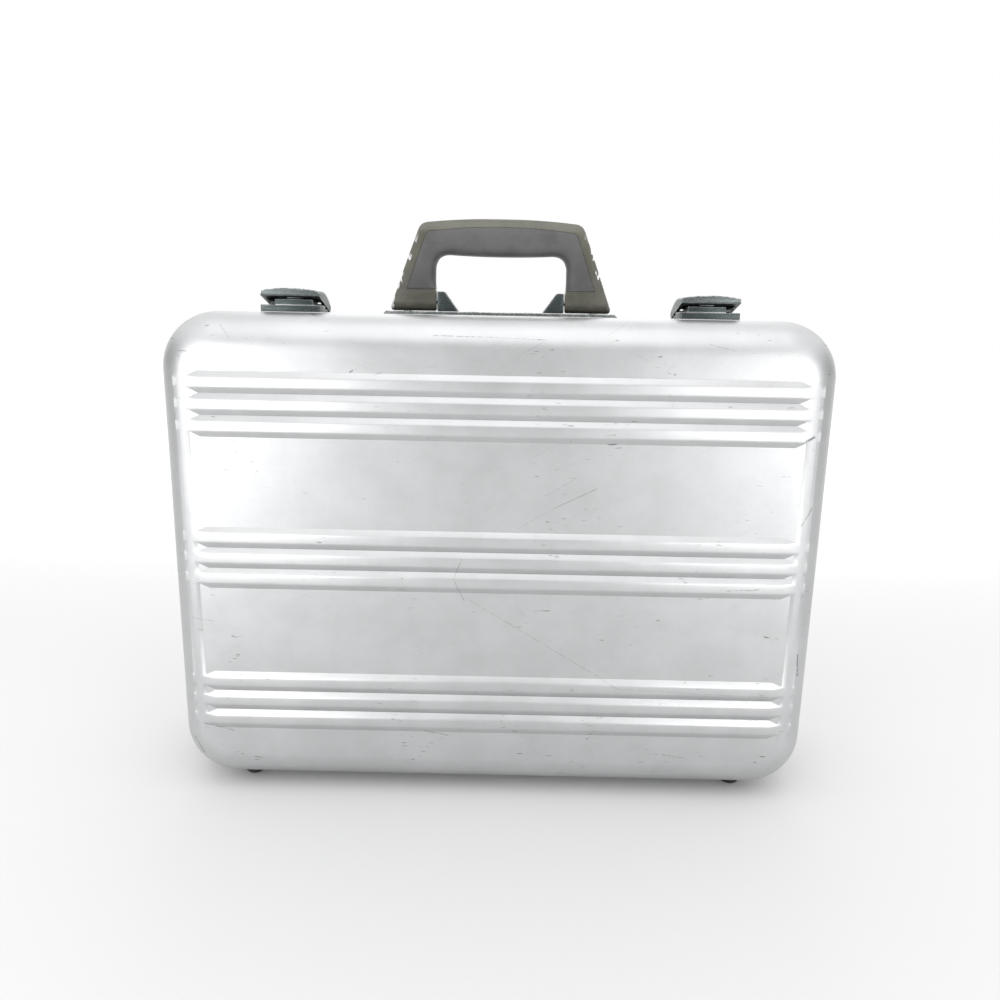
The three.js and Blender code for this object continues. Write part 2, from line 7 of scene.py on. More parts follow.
import logging
import math
from contextlib import contextmanager
from dataclasses import dataclass
from enum import Enum
from typing import Callable, Iterable, Iterator, Optional, Sequence

import bpy
from mathutils import Matrix, Vector


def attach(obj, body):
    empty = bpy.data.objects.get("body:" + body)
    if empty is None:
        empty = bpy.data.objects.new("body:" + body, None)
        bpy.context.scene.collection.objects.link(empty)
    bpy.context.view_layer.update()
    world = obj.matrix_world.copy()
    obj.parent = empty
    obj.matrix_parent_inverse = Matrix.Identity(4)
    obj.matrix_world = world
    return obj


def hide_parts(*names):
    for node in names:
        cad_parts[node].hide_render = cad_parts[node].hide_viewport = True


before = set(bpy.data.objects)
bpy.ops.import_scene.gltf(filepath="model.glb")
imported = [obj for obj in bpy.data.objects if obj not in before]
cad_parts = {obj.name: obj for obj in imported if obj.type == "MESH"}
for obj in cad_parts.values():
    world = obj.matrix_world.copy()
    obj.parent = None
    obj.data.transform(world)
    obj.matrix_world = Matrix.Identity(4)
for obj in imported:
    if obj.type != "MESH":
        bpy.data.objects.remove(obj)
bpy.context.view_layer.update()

LOG = logging.getLogger("attache_case")

Point = tuple[float, float]
Color = tuple[float, float, float]
Piece = bpy.types.Object
Material = bpy.types.Material
Socket = bpy.types.NodeSocket
Node = bpy.types.ShaderNode
Tree = bpy.types.NodeTree

CASE_W, CASE_H, CASE_D = 0.457, 0.339, 0.127
FOOT_H = 0.008
TOP = FOOT_H + CASE_H
MID_Z = FOOT_H + CASE_H / 2
PARTING_Y = -CASE_D / 2 + 0.050
CORNER_R, EDGE_R = 0.039, 0.023
SKIN = 0.0015
RIB_H = 0.0022
PANEL_Y = CASE_D / 2 - RIB_H
HANDLE_Y = 0.0056
NEAR = 1e-5  # places closer than this are the same


class Half(Enum):
    """The two halves of the case, by the sign of their Y direction."""

    LID = -1
    BODY = 1

    @property
    def label(self) -> str:
        """The half's name in the frame."""
        return self.name.lower()


class Plane(Enum):
    """The plane that an outline is drawn in. It is extruded along the remaining axis."""

    XZ = "xz"
    YZ = "yz"
    XY = "xy"


# ---- Modelling helpers ------------------------------------------------------------------------------------


def activate_none() -> None:
    """Leave edit mode and deselect everything."""
    if bpy.context.object and bpy.context.object.mode != "OBJECT":
        bpy.ops.object.mode_set(mode="OBJECT")
    bpy.ops.object.select_all(action="DESELECT")


def activate(obj: Piece) -> None:
    """Make one object the only selected and active one.

    Args:
        obj: The object that the next operators act on.
    """
    activate_none()
    obj.select_set(True)
    bpy.context.view_layer.objects.active = obj


@contextmanager
def editing(obj: Piece) -> Iterator[None]:
    """Edit an object with all of it selected, and go back to object mode afterwards.

    Args:
        obj: The mesh object, which becomes active.

    Yields:
        Nothing.
    """
    activate(obj)
    bpy.ops.object.mode_set(mode="EDIT")
    bpy.ops.mesh.select_all(action="SELECT")
    yield
    bpy.ops.object.mode_set(mode="OBJECT")


def modify(obj: Piece, kind: str, **settings: object) -> Piece:
    """Add a modifier to an object and apply it.

    Args:
        obj: The object that it changes.
        kind: The modifier's type.
        settings: Attributes of the modifier.

    Returns:
        The same object.
    """
    activate(obj)
    bpy.ops.object.modifier_add(type=kind)
    modifier = obj.modifiers[-1]
    for label, value in settings.items():
        setattr(modifier, label, value)
    bpy.ops.object.modifier_apply(modifier=modifier.name)
    return obj


def rename(obj: Piece, name: str) -> Piece:
    """Name an object and its mesh alike.

    Args:
        obj: The object to name.
        name: Letters, digits, underscores, dots and hyphens only.

    Returns:
        The same object.
    """
    obj.name = name
    obj.data.name = name
    return obj


def settle(obj: Piece) -> Piece:
    """Move an object's place, turn and scale into its mesh.

    Args:
        obj: The object to settle.

    Returns:
        The same object, at the origin.
    """
    activate(obj)
    bpy.ops.object.transform_apply(location=True, rotation=True, scale=True)
    return obj


def spot(plane: Plane, point: Point, depth: float) -> Vector:
    """Place a drawn point in space.

    Args:
        plane: The plane that the point is drawn in.
        point: Its two coordinates, in metres.
        depth: Its position along the third axis.

    Returns:
        The point in the frame's axes.
    """
    a, b = point
    if plane is Plane.XZ:
        return Vector((a, depth, b))
    if plane is Plane.YZ:
        return Vector((depth, a, b))
    return Vector((a, b, depth))


def trace(name: str, plane: Plane, points: Sequence[Point], depth: float, fill: bool = True) -> Piece:
    """Draw an outline by extruding a single vertex from point to point.

    Args:
        name: The new object's name.
        plane: The plane to draw in.
        points: The corners in order, in metres.
        depth: Where the plane stands along its normal.
        fill: Whether the outline is closed with a face.

    Returns:
        The new object.
    """
    placed = [spot(plane, p, depth) for p in points]
    activate_none()
    bpy.ops.mesh.primitive_plane_add(size=0.001, location=placed[0])
    obj = rename(bpy.context.object, name)
    bpy.ops.object.mode_set(mode="EDIT")
    bpy.ops.mesh.select_mode(type="VERT")
    bpy.ops.mesh.select_all(action="SELECT")
    bpy.ops.mesh.merge(type="CENTER")
    for here, there in zip(placed, placed[1:]):
        bpy.ops.mesh.extrude_vertices_move(TRANSFORM_OT_translate={"value": there - here})
    bpy.ops.mesh.select_all(action="SELECT")
    if fill:
        bpy.ops.mesh.edge_face_add()
    bpy.ops.object.mode_set(mode="OBJECT")
    return settle(obj)


def outward(obj: Piece) -> Piece:
    """Point every face of a closed mesh outward.

    Args:
        obj: The mesh object.

    Returns:
        The same object.
    """
    with editing(obj):
        bpy.ops.mesh.normals_make_consistent(inside=False)
    return obj


def prism(
    name: str,
    plane: Plane,
    points: Sequence[Point],
    near: float,
    far: float,
    round_r: float = 0.0,
    steps: int = 3,
) -> Piece:
    """Extrude an outline into a closed solid, with its sharp edges rounded.

    Args:
        name: The new object's name.
        plane: The plane of the outline.
        points: The outline's corners, in metres.
        near: Where the outline starts along the plane's normal.
        far: Where it ends.
        round_r: Radius of the rounded edges, or zero.
        steps: Segments of each rounding.

    Returns:
        The new object.
    """
    obj = trace(name, plane, points, near)
    with editing(obj):
        step = spot(plane, (0.0, 0.0), far - near)
        bpy.ops.mesh.extrude_region_move(TRANSFORM_OT_translate={"value": step})
    outward(obj)
    return soften(obj, round_r, steps) if round_r > 0 else obj


def soften(obj: Piece, radius: float, steps: int = 2, angle: float = 40.0) -> Piece:
    """Round every edge that is sharper than an angle.

    Args:
        obj: The object to round.
        radius: Width of the rounding, in metres.
        steps: Its segments.
        angle: The smallest angle between faces that is rounded, in degrees.

    Returns:
        The same object.
    """
    return modify(
        obj,
        "BEVEL",
        width=radius,
        segments=steps,
        limit_method="ANGLE",
        angle_limit=math.radians(angle),
        use_clamp_overlap=True,
    )


def smooth(obj: Piece, angle: float = 30.0) -> Piece:
    """Shade an object smooth, keeping edges over an angle sharp.

    Args:
        obj: The object to shade.
        angle: The limit, in degrees.

    Returns:
        The same object.
    """
    activate(obj)
    bpy.ops.object.shade_smooth_by_angle(angle=math.radians(angle))
    return obj


def block(
    name: str, low: Sequence[float], high: Sequence[float], round_r: float = 0.0, steps: int = 2
) -> Piece:
    """Make a box between two corners.

    Args:
        name: The new object's name.
        low: Its lowest corner, in metres.
        high: Its highest corner.
        round_r: Radius of its rounded edges, or zero.
        steps: Segments of each rounding.

    Returns:
        The new object.
    """
    centre = [(a + b) / 2 for a, b in zip(low, high)]
    activate_none()
    bpy.ops.mesh.primitive_cube_add(size=1, location=centre)
    obj = rename(bpy.context.object, name)
    obj.scale = [b - a for a, b in zip(low, high)]
    settle(obj)
    return soften(obj, round_r, steps) if round_r > 0 else obj


def rod(
    name: str,
    axis: str,
    radius: float,
    length: float,
    centre: Sequence[float],
    sides: int = 32,
    round_r: float = 0.0,
) -> Piece:
    """Make a cylinder along one axis.

    Args:
        name: The new object's name.
        axis: "x", "y" or "z".
        radius: Its radius, in metres.
        length: Its length.
        centre: Its middle point.
        sides: How many sides it has.
        round_r: Radius of its rounded rims, or zero.

    Returns:
        The new object.
    """
    turn = {"x": (0, math.pi / 2, 0), "y": (math.pi / 2, 0, 0), "z": (0, 0, 0)}[axis]
    activate_none()
    bpy.ops.mesh.primitive_cylinder_add(
        vertices=sides, radius=radius, depth=length, location=centre, rotation=turn
    )
    obj = settle(rename(bpy.context.object, name))
    return soften(obj, round_r, 2, 60) if round_r > 0 else obj


def turned(
    name: str, profile: Sequence[Point], centre: Sequence[float], axis: str = "z", steps: int = 32
) -> Piece:
    """Turn a profile about an axis.

    Args:
        name: The new object's name.
        profile: Radius and height of each corner, from the axis and back to it.
        centre: The point that the axis passes through, at height zero.
        axis: "x", "y" or "z".
        steps: Segments of the full turn.

    Returns:
        The new object.
    """
    obj = trace(name, Plane.XZ, profile, 0.0, fill=False)
    with editing(obj):
        bpy.ops.mesh.spin(steps=steps, angle=math.tau, center=(0, 0, 0), axis=(0, 0, 1))
        bpy.ops.mesh.select_all(action="SELECT")
        bpy.ops.mesh.remove_doubles(threshold=1e-6)
    obj.rotation_euler = {"x": (0, math.pi / 2, 0), "y": (-math.pi / 2, 0, 0), "z": (0, 0, 0)}[axis]
    obj.location = centre
    settle(obj)
    return outward(obj)


def combine(obj: Piece, tool: Piece, operation: str) -> Piece:
    """Apply a boolean and throw the tool away.

    Args:
        obj: The object that keeps the result.
        tool: The object that is used up.
        operation: "UNION", "DIFFERENCE" or "INTERSECT".

    Returns:
        The first object.
    """
    modify(obj, "BOOLEAN", operation=operation, solver="EXACT", object=tool)
    bpy.data.objects.remove(tool, do_unlink=True)
    return obj


def fuse(name: str, parts: Sequence[Piece]) -> Piece:
    """Join several pieces into one object without changing their shapes.

    Args:
        name: The joined object's name.
        parts: The pieces, at least one.

    Returns:
        The joined object.
    """
    activate_none()
    for part in parts:
        part.select_set(True)
    bpy.context.view_layer.objects.active = parts[0]
    if len(parts) > 1:
        bpy.ops.object.join()
    return rename(parts[0], name)


def mirrored(obj: Piece, name: str) -> Piece:
    """Copy an object across the middle plane of the case.

    Args:
        obj: The object to copy.
        name: The copy's name.

    Returns:
        The copy, with its normals outward.
    """
    activate(obj)
    bpy.ops.object.duplicate()
    copy = rename(bpy.context.object, name)
    with editing(copy):
        bpy.ops.transform.resize(value=(-1, 1, 1), center_override=(0, 0, 0))
        bpy.ops.mesh.flip_normals()
    return copy


def unpick(obj: Piece, kind: str) -> None:
    """Deselect every vertex, edge and face of an object.

    Args:
        obj: The mesh object, which becomes active.
        kind: The kind that is selected next, "VERT" or "EDGE".
    """
    with editing(obj):
        bpy.ops.mesh.select_mode(type=kind)
        bpy.ops.mesh.select_all(action="DESELECT")


def pick(obj: Piece, test: Callable[[Vector], bool]) -> None:
    """Select the vertices of an object that pass a test, ready for edit mode.

    Args:
        obj: The mesh object, which becomes active.
        test: Whether a vertex at that place is selected.
    """
    unpick(obj, "VERT")
    for vertex in obj.data.vertices:
        vertex.select = test(vertex.co)
    bpy.ops.object.mode_set(mode="EDIT")


def pick_edges(obj: Piece, test: Callable[[Vector, Vector], bool]) -> None:
    """Select the edges of an object that pass a test, ready for edit mode.

    Args:
        obj: The mesh object, which becomes active.
        test: Whether an edge between those two places is selected.
    """
    unpick(obj, "EDGE")
    at = obj.data.vertices
    for edge in obj.data.edges:
        edge.select = test(at[edge.vertices[0]].co, at[edge.vertices[1]].co)
    bpy.ops.object.mode_set(mode="EDIT")


def bevel_edges(obj: Piece, test: Callable[[Vector, Vector], bool], width: float, steps: int) -> None:
    """Round the edges of an object that pass a test.

    Args:
        obj: The mesh object.
        test: Whether an edge between those two places is rounded.
        width: Width of the rounding, in metres.
        steps: Its segments.
    """
    pick_edges(obj, test)
    bpy.ops.mesh.bevel(offset=width, segments=steps, affect="EDGES", clamp_overlap=False)
    bpy.ops.object.mode_set(mode="OBJECT")


def arc(centre: Point, radius: float, start: float, end: float, steps: int) -> list[Point]:
    """Points along an arc.

    Args:
        centre: The arc's centre.
        radius: Its radius.
        start: Its first angle, in degrees.
        end: Its last angle, in degrees.
        steps: How many segments it has.

    Returns:
        The points, both ends included.
    """
    angles = (math.radians(start + (end - start) * i / steps) for i in range(steps + 1))
    return [(centre[0] + radius * math.cos(a), centre[1] + radius * math.sin(a)) for a in angles]


def curve(start: Point, control: Point, end: Point, steps: int = 8) -> list[Point]:
    """Points along a quadratic curve.

    Args:
        start: Its first point.
        control: Its control point.
        end: Its last point.
        steps: How many segments it has.

    Returns:
        The points after the first one.
    """
    made = []
    for i in range(1, steps + 1):
        t = i / steps
        a, b, c = (1 - t) ** 2, 2 * t * (1 - t), t * t
        made.append((a * start[0] + b * control[0] + c * end[0], a * start[1] + b * control[1] + c * end[1]))
    return made


def near_line(points: Sequence[Point], at: Vector, reach: float = 0.00005) -> bool:
    """Whether a place lies on a line drawn in X and Z.

    Args:
        points: The line's corners.
        at: The place, whose Y is left out.
        reach: The largest distance that counts.

    Returns:
        True when the place is on the line.
    """
    here = Vector((at.x, at.z))
    for start, end in zip(points, points[1:]):
        a, span = Vector(start), Vector(end) - Vector(start)
        share = min(max((here - a).dot(span) / max(span.length_squared, 1e-12), 0.0), 1.0)
        if (a + span * share - here).length < reach:
            return True
    return False


def rounded_rect(
    half_w: float, low: float, high: float, radius: float, steps: int = 8, middle: float = 0.0
) -> list[Point]:
    """Corners of a rounded rectangle, drawn anticlockwise.

    Args:
        half_w: Half its width.
        low: Its lower side.
        high: Its upper side.
        radius: Its corner radius.
        steps: Segments of each corner.
        middle: The middle of its width.

    Returns:
        The points.
    """
    left, right = middle - half_w + radius, middle + half_w - radius
    points = arc((right, low + radius), radius, -90, 0, steps)
    points += arc((right, high - radius), radius, 0, 90, steps)
    points += arc((left, high - radius), radius, 90, 180, steps)
    return points + arc((left, low + radius), radius, 180, 270, steps)


def case_outline(inset: float, steps: int = 16) -> list[Point]:
    """The outline of the case, shrunk by an inset.

    Args:
        inset: How far inside the walls it runs, in metres.
        steps: Segments of each corner.

    Returns:
        The points.
    """
    radius = max(CORNER_R - inset, 0.002)
    return rounded_rect(CASE_W / 2 - inset, FOOT_H + inset, TOP - inset, radius, steps)


def rounded_pan(
    name: str, inset: float, face: float, rim: float, edge_r: float, steps: tuple[int, int]
) -> Piece:
    """Make a solid block of the case's outline with rounded corners and a rounded face.

    Args:
        name: The new object's name.
        inset: How far it lies inside the case's walls.
        face: Where its rounded face stands.
        rim: Where its open side stands.
        edge_r: Radius from the face into the sides.
        steps: Segments of each corner and of the face's rounding.

    Returns:
        The block.
    """
    low = (-CASE_W / 2 + inset, min(face, rim), FOOT_H + inset)
    high = (CASE_W / 2 - inset, max(face, rim), TOP - inset)
    pan = block(name, low, high)
    bevel_edges(pan, lambda a, b: abs(a.y - b.y) > 0.005, CORNER_R - inset, steps[0])
    bevel_edges(pan, lambda a, b: abs(a.y - face) < NEAR and abs(b.y - face) < NEAR, edge_r, steps[1])
    return pan


# ---- Shader groups ----------------------------------------------------------------------------------------


class GroupMaker:
    """Builds a shader node group out of chained maths nodes."""

    def __init__(self, name: str, inputs: dict[str, tuple[str, object]], outputs: dict[str, str]) -> None:
        """Start a group.

        Args:
            name: The group's name.
            inputs: Socket kind and default value of each input.
            outputs: Socket kind of each output.
        """
        self.tree = bpy.data.node_groups.new(name, "ShaderNodeTree")
        for label, (kind, value) in inputs.items():
            socket = self.tree.interface.new_socket(label, in_out="INPUT", socket_type=kind)
            if value is not None:
                socket.default_value = value
        for label, kind in outputs.items():
            self.tree.interface.new_socket(label, in_out="OUTPUT", socket_type=kind)
        self.source = self.tree.nodes.new("NodeGroupInput")
        self.sink = self.tree.nodes.new("NodeGroupOutput")

    def output(self, label: str, socket: Socket) -> None:
        """Feed one of the group's outputs."""
        self.tree.links.new(socket, self.sink.inputs[label])


def add_node(tree: Tree, kind: str, links: Optional[dict] = None, **settings: object) -> Node:
    """Add a shader node.

    Args:
        tree: The node tree to add to.
        kind: The node's type, without its ShaderNode prefix.
        links: Socket or value for each input, by name or index.
        settings: Attributes of the node.

    Returns:
        The node.
    """
    node = tree.nodes.new("ShaderNode" + kind)
    for label, value in settings.items():
        setattr(node, label, value)
    for label, value in (links or {}).items():
        target = node.inputs[label]
        if isinstance(value, Socket):
            tree.links.new(value, target)
        else:
            target.default_value = value
    return node


def maths(tree: Tree, operation: str, *values: object, clamp: bool = False) -> Socket:
    """Add a maths node and return its result."""
    return add_node(tree, "Math", dict(enumerate(values)), operation=operation, use_clamp=clamp).outputs[0]


def ramp(tree: Tree, value: object, low: float, high: float, start: float = 0.0, end: float = 1.0) -> Socket:
    """Map a value from one range to another, smoothly and clamped."""
    links = {"Value": value, "From Min": low, "From Max": high, "To Min": start, "To Max": end}
    return add_node(tree, "MapRange", links, interpolation_type="SMOOTHSTEP").outputs["Result"]


def noise(tree: Tree, vector: object, scale: float, detail: float = 3.0, rough: float = 0.55) -> Socket:
    """Add a noise texture and return its value."""
    links = {"Vector": vector, "Scale": scale, "Detail": detail, "Roughness": rough}
    return add_node(tree, "TexNoise", links).outputs[0]


def stretch(tree: Tree, vector: object, scale: Sequence[float], turn: float = 0.0) -> Socket:
    """Scale a position, turned about Y."""
    links = {"Vector": vector, "Scale": scale, "Rotation": (0.0, turn, 0.0)}
    return add_node(tree, "Mapping", links).outputs[0]


def hairline_group() -> Tree:
    """A group for the mask of many fine straight scratches in one direction.

    Returns:
        The node group.
    """
    made = GroupMaker(
        "Hairlines",
        {
            "Vector": ("NodeSocketVector", None),
            "Turn": ("NodeSocketFloat", 0.0),
            "Amount": ("NodeSocketFloat", 0.5),
        },
        {"Mask": "NodeSocketFloat"},
    )
    tree, source = made.tree, made.source
    turn = add_node(tree, "CombineXYZ", {"Y": source.outputs["Turn"]}).outputs[0]
    links = {"Vector": source.outputs["Vector"], "Rotation": turn}
    turned_v = add_node(tree, "VectorRotate", links, rotation_type="EULER_XYZ").outputs[0]
    links = {0: turned_v, 1: (14.0, 14.0, 1500.0)}
    warped = add_node(tree, "VectorMath", links, operation="MULTIPLY").outputs[0]
    wobble = noise(tree, turned_v, 9.0, 2.0)
    shift = add_node(tree, "CombineXYZ", {"Z": maths(tree, "MULTIPLY", wobble, 9.0)}).outputs[0]
    swayed = add_node(tree, "VectorMath", {0: warped, 1: shift}, operation="ADD").outputs[0]
    lines = noise(tree, swayed, 1.0, 1.0)
    thin = ramp(tree, lines, 0.70, 0.76)
    patches = ramp(tree, noise(tree, source.outputs["Vector"], 17.0, 3.0), 0.40, 0.62)
    cover = maths(tree, "MULTIPLY", ramp(tree, patches, 0.0, 1.0), source.outputs["Amount"])
    made.output("Mask", maths(tree, "MULTIPLY", thin, cover, clamp=True))
    return tree


def nick_group() -> Tree:
    """A group for the mask of small scattered dark nicks and scuffs.

    Returns:
        The node group.
    """
    made = GroupMaker(
        "Nicks",
        {"Vector": ("NodeSocketVector", None), "Density": ("NodeSocketFloat", 0.5)},
        {"Mask": "NodeSocketFloat"},
    )
    tree, source = made.tree, made.source
    place = source.outputs["Vector"]
    masks = []
    kinds = (
        (0.45, (75.0, 75.0, 520.0), 0.70),
        (-0.75, (120.0, 120.0, 640.0), 0.70),
        (0.08, (260.0, 260.0, 430.0), 0.735),
    )
    for turn, scale, cut in kinds:
        specks = noise(tree, stretch(tree, place, scale, turn), 1.0, 2.0, 0.6)
        rare = ramp(tree, noise(tree, place, 19.0 + scale[0] / 20, 3.0, 0.6), 0.53, 0.66)
        found = ramp(tree, specks, cut - 0.02, cut + 0.03)
        masks.append(maths(tree, "MULTIPLY", found, rare))
    both = maths(tree, "MAXIMUM", maths(tree, "MAXIMUM", masks[0], masks[1]), masks[2])
    made.output("Mask", maths(tree, "MULTIPLY", both, source.outputs["Density"], clamp=True))
    return tree


def stroke_group() -> Tree:
    """A group for the mask of one long scratch between two points of the X-Z plane.

    Returns:
        The node group.
    """
    made = GroupMaker(
        "Stroke",
        {
            "Vector": ("NodeSocketVector", None),
            "Start": ("NodeSocketVector", (0.0, 0.0, 0.0)),
            "End": ("NodeSocketVector", (0.1, 0.0, 0.0)),
            "Width": ("NodeSocketFloat", 0.0003),
            "Wobble": ("NodeSocketFloat", 0.001),
        },
        {"Mask": "NodeSocketFloat"},
    )
    tree, source = made.tree, made.source

    def vector(operation: str, *values: object, out: int = 0) -> Socket:
        """Add a vector maths node and return one of its results."""
        return add_node(tree, "VectorMath", dict(enumerate(values)), operation=operation).outputs[out]

    place = vector("MULTIPLY", source.outputs["Vector"], (1.0, 0.0, 1.0))
    colour = add_node(tree, "TexNoise", {"Vector": place, "Scale": 38.0, "Detail": 3.0}).outputs["Color"]
    sway = add_node(
        tree,
        "VectorMath",
        {0: vector("SUBTRACT", colour, (0.5, 0.5, 0.5)), "Scale": source.outputs["Wobble"]},
        operation="SCALE",
    ).outputs[0]
    place = vector("MULTIPLY", vector("ADD", place, sway), (1.0, 0.0, 1.0))
    along = vector("SUBTRACT", source.outputs["End"], source.outputs["Start"])
    offset = vector("SUBTRACT", place, source.outputs["Start"])
    length2 = vector("DOT_PRODUCT", along, along, out=1)
    share = maths(tree, "DIVIDE", vector("DOT_PRODUCT", offset, along, out=1), length2, clamp=True)
    nearest = add_node(tree, "VectorMath", {0: along, "Scale": share}, operation="SCALE").outputs[0]
    distance = vector("DISTANCE", offset, nearest, out=1)
    core = maths(tree, "SUBTRACT", 1.0, maths(tree, "DIVIDE", distance, source.outputs["Width"]), clamp=True)
    broken = ramp(tree, noise(tree, place, 260.0, 3.0), 0.36, 0.56)
    made.output("Mask", maths(tree, "MULTIPLY", ramp(tree, core, 0.0, 0.7), broken))
    return tree


def edge_wear_and_highlight_group() -> Tree:
    """A group that finds edges and gives a mask of bright metal there, partly abraded metal and partly a
    painted highlight.

    Returns:
        The node group.
    """
    made = GroupMaker(
        "EdgeWearAndHighlight",
        {
            "Vector": ("NodeSocketVector", None),
            "Radius": ("NodeSocketFloat", 0.001),
            "Bare": ("NodeSocketFloat", 0.5),
            "Amount": ("NodeSocketFloat", 1.0),
        },
        {"Mask": "NodeSocketFloat"},
    )
    tree, source = made.tree, made.source
    bevel = add_node(tree, "Bevel", {"Radius": source.outputs["Radius"]}, samples=6).outputs[0]
    normal = add_node(tree, "NewGeometry").outputs["Normal"]
    same = add_node(tree, "VectorMath", {0: bevel, 1: normal}, operation="DOT_PRODUCT").outputs[1]
    # Edges found here are painted bright: partly abraded metal, partly a painted highlight.
    edge = ramp(tree, same, 0.995, 0.90)
    spots = maths(tree, "ADD", noise(tree, source.outputs["Vector"], 420.0, 4.0, 0.7), source.outputs["Bare"])
    chips_and_highlights = ramp(tree, spots, 0.94, 1.08)
    found = maths(tree, "MULTIPLY", edge, chips_and_highlights)
    made.output("Mask", maths(tree, "MULTIPLY", found, source.outputs["Amount"], clamp=True))
    return tree


@dataclass(frozen=True)
class ShaderKit:
    """The shared shader groups."""

    hairlines: Tree
    nicks: Tree
    stroke: Tree
    edge_wear_and_highlight: Tree

    @staticmethod
    def make() -> "ShaderKit":
        """Build the groups once.
        """
        return ShaderKit(hairline_group(), nick_group(), stroke_group(), edge_wear_and_highlight_group())


# ---- Finishes ---------------------------------------------------------------------------------------------


@dataclass(frozen=True)
class Finish:
    """A material's base values, and the start of its node tree."""

    name: str
    color: Color
    roughness: float
    metallic: float = 0.0
    specular: float = 0.5
    coat: float = 0.0

    def start(self) -> tuple[Material, Tree, Node, Socket]:
        """Make the material with its Principled node.

        Returns:
            The material, its tree, its shader node and the object position socket.
        """
        material = bpy.data.materials.new(self.name)
        material.use_nodes = True
        material.diffuse_color = (*self.color, 1.0)
        tree = material.node_tree
        shader = tree.nodes["Principled BSDF"]
        shader.inputs["Base Color"].default_value = (*self.color, 1.0)
        shader.inputs["Roughness"].default_value = self.roughness
        shader.inputs["Metallic"].default_value = self.metallic
        shader.inputs["Specular IOR Level"].default_value = self.specular
        shader.inputs["Coat Weight"].default_value = self.coat
        place = add_node(tree, "TexCoord").outputs["Object"]
        return material, tree, shader, place


def blend_color(tree: Tree, factor: object, first: object, second: object) -> Socket:
    """Mix two colours and return the result."""
    node = add_node(tree, "Mix", {0: factor, 6: first, 7: second}, data_type="RGBA")
    return node.outputs[2]


def tone(color: Sequence[float], gain: float) -> tuple[float, ...]:
    """A colour made darker or lighter, with its alpha."""
    return (*(min(c * gain, 1.0) for c in color), 1.0)


def add_bump(tree: Tree, shader: Node, height: Socket, strength: float, distance: float) -> None:
    """Feed a shader's normal from a height."""
    bump = add_node(tree, "Bump", {"Height": height, "Strength": strength, "Distance": distance})
    tree.links.new(bump.outputs[0], shader.inputs["Normal"])


def scaled(tree: Tree, value: Socket, factor: float) -> Socket:
    """A value times a factor."""
    return maths(tree, "MULTIPLY", value, factor)


def mask_of(tree: Tree, group: Tree, links: dict[str, object]) -> Socket:
    """Use a shader group and return its mask."""
    return add_node(tree, "Group", links, node_tree=group).outputs["Mask"]


@dataclass(frozen=True)
class Scratch:
    """One long scratch on the lid's face, by its ends in X and Z."""

    start: Point
    end: Point
    width: float = 0.00035
    wobble: float = 0.0015
    depth: float = 0.6


LID_SCRATCHES = (
    Scratch((-0.0178, 0.1531), (0.0888, 0.0890), 0.00028, 0.0010, 0.55),
    Scratch((0.0888, 0.0890), (0.2021, 0.0847), 0.00025, 0.0010, 0.40),
    Scratch((0.0153, 0.2051), (0.0388, 0.2196), 0.00028, 0.0010, 0.35),
    Scratch((0.0388, 0.2196), (0.0681, 0.2342), 0.00040, 0.0010, 0.60),
    Scratch((0.0331, 0.2286), (0.0569, 0.2429), 0.00025, 0.0010, 0.35),
    Scratch((-0.0236, 0.1828), (-0.0283, 0.1683), 0.00040, 0.0030, 0.65),
    Scratch((-0.0283, 0.1683), (-0.0212, 0.1523), 0.00040, 0.0030, 0.65),
    Scratch((-0.0429, 0.3340), (-0.0045, 0.3334), 0.00040, 0.0005, 0.60),
    Scratch((-0.0045, 0.3334), (0.0332, 0.3325), 0.00030, 0.0010, 0.40),
    Scratch((0.2070, 0.2084), (0.2150, 0.2233), 0.00060, 0.0020, 0.65),
    Scratch((0.2057, 0.2688), (0.2114, 0.2722), 0.00120, 0.0020, 0.95),
    Scratch((0.1605, 0.1636), (0.1834, 0.1670), 0.00060, 0.0060, 0.55),
    Scratch((-0.2130, 0.1357), (-0.1983, 0.1335), 0.00035, 0.0020, 0.50),
    Scratch((-0.2181, 0.0416), (-0.2119, 0.0297), 0.00080, 0.0030, 0.75),
    Scratch((-0.2103, 0.0546), (-0.1880, 0.0495), 0.00060, 0.0040, 0.60),
    Scratch((-0.0495, 0.0520), (-0.0320, 0.0493), 0.00060, 0.0030, 0.55),
    Scratch((0.1191, 0.0377), (0.1396, 0.0349), 0.00050, 0.0030, 0.45),
    Scratch((0.2161, 0.1164), (0.2177, 0.1005), 0.00080, 0.0030, 0.75),
    Scratch((-0.1835, 0.3381), (-0.1774, 0.3306), 0.00040, 0.0030, 0.45),
    Scratch((0.1378, 0.3319), (0.1544, 0.3277), 0.00040, 0.0030, 0.40),
    Scratch((-0.0976, 0.3094), (-0.0936, 0.3115), 0.00080, 0.0010, 0.75),
    Scratch((-0.0818, 0.3084), (-0.0778, 0.3092), 0.00080, 0.0010, 0.70),
)


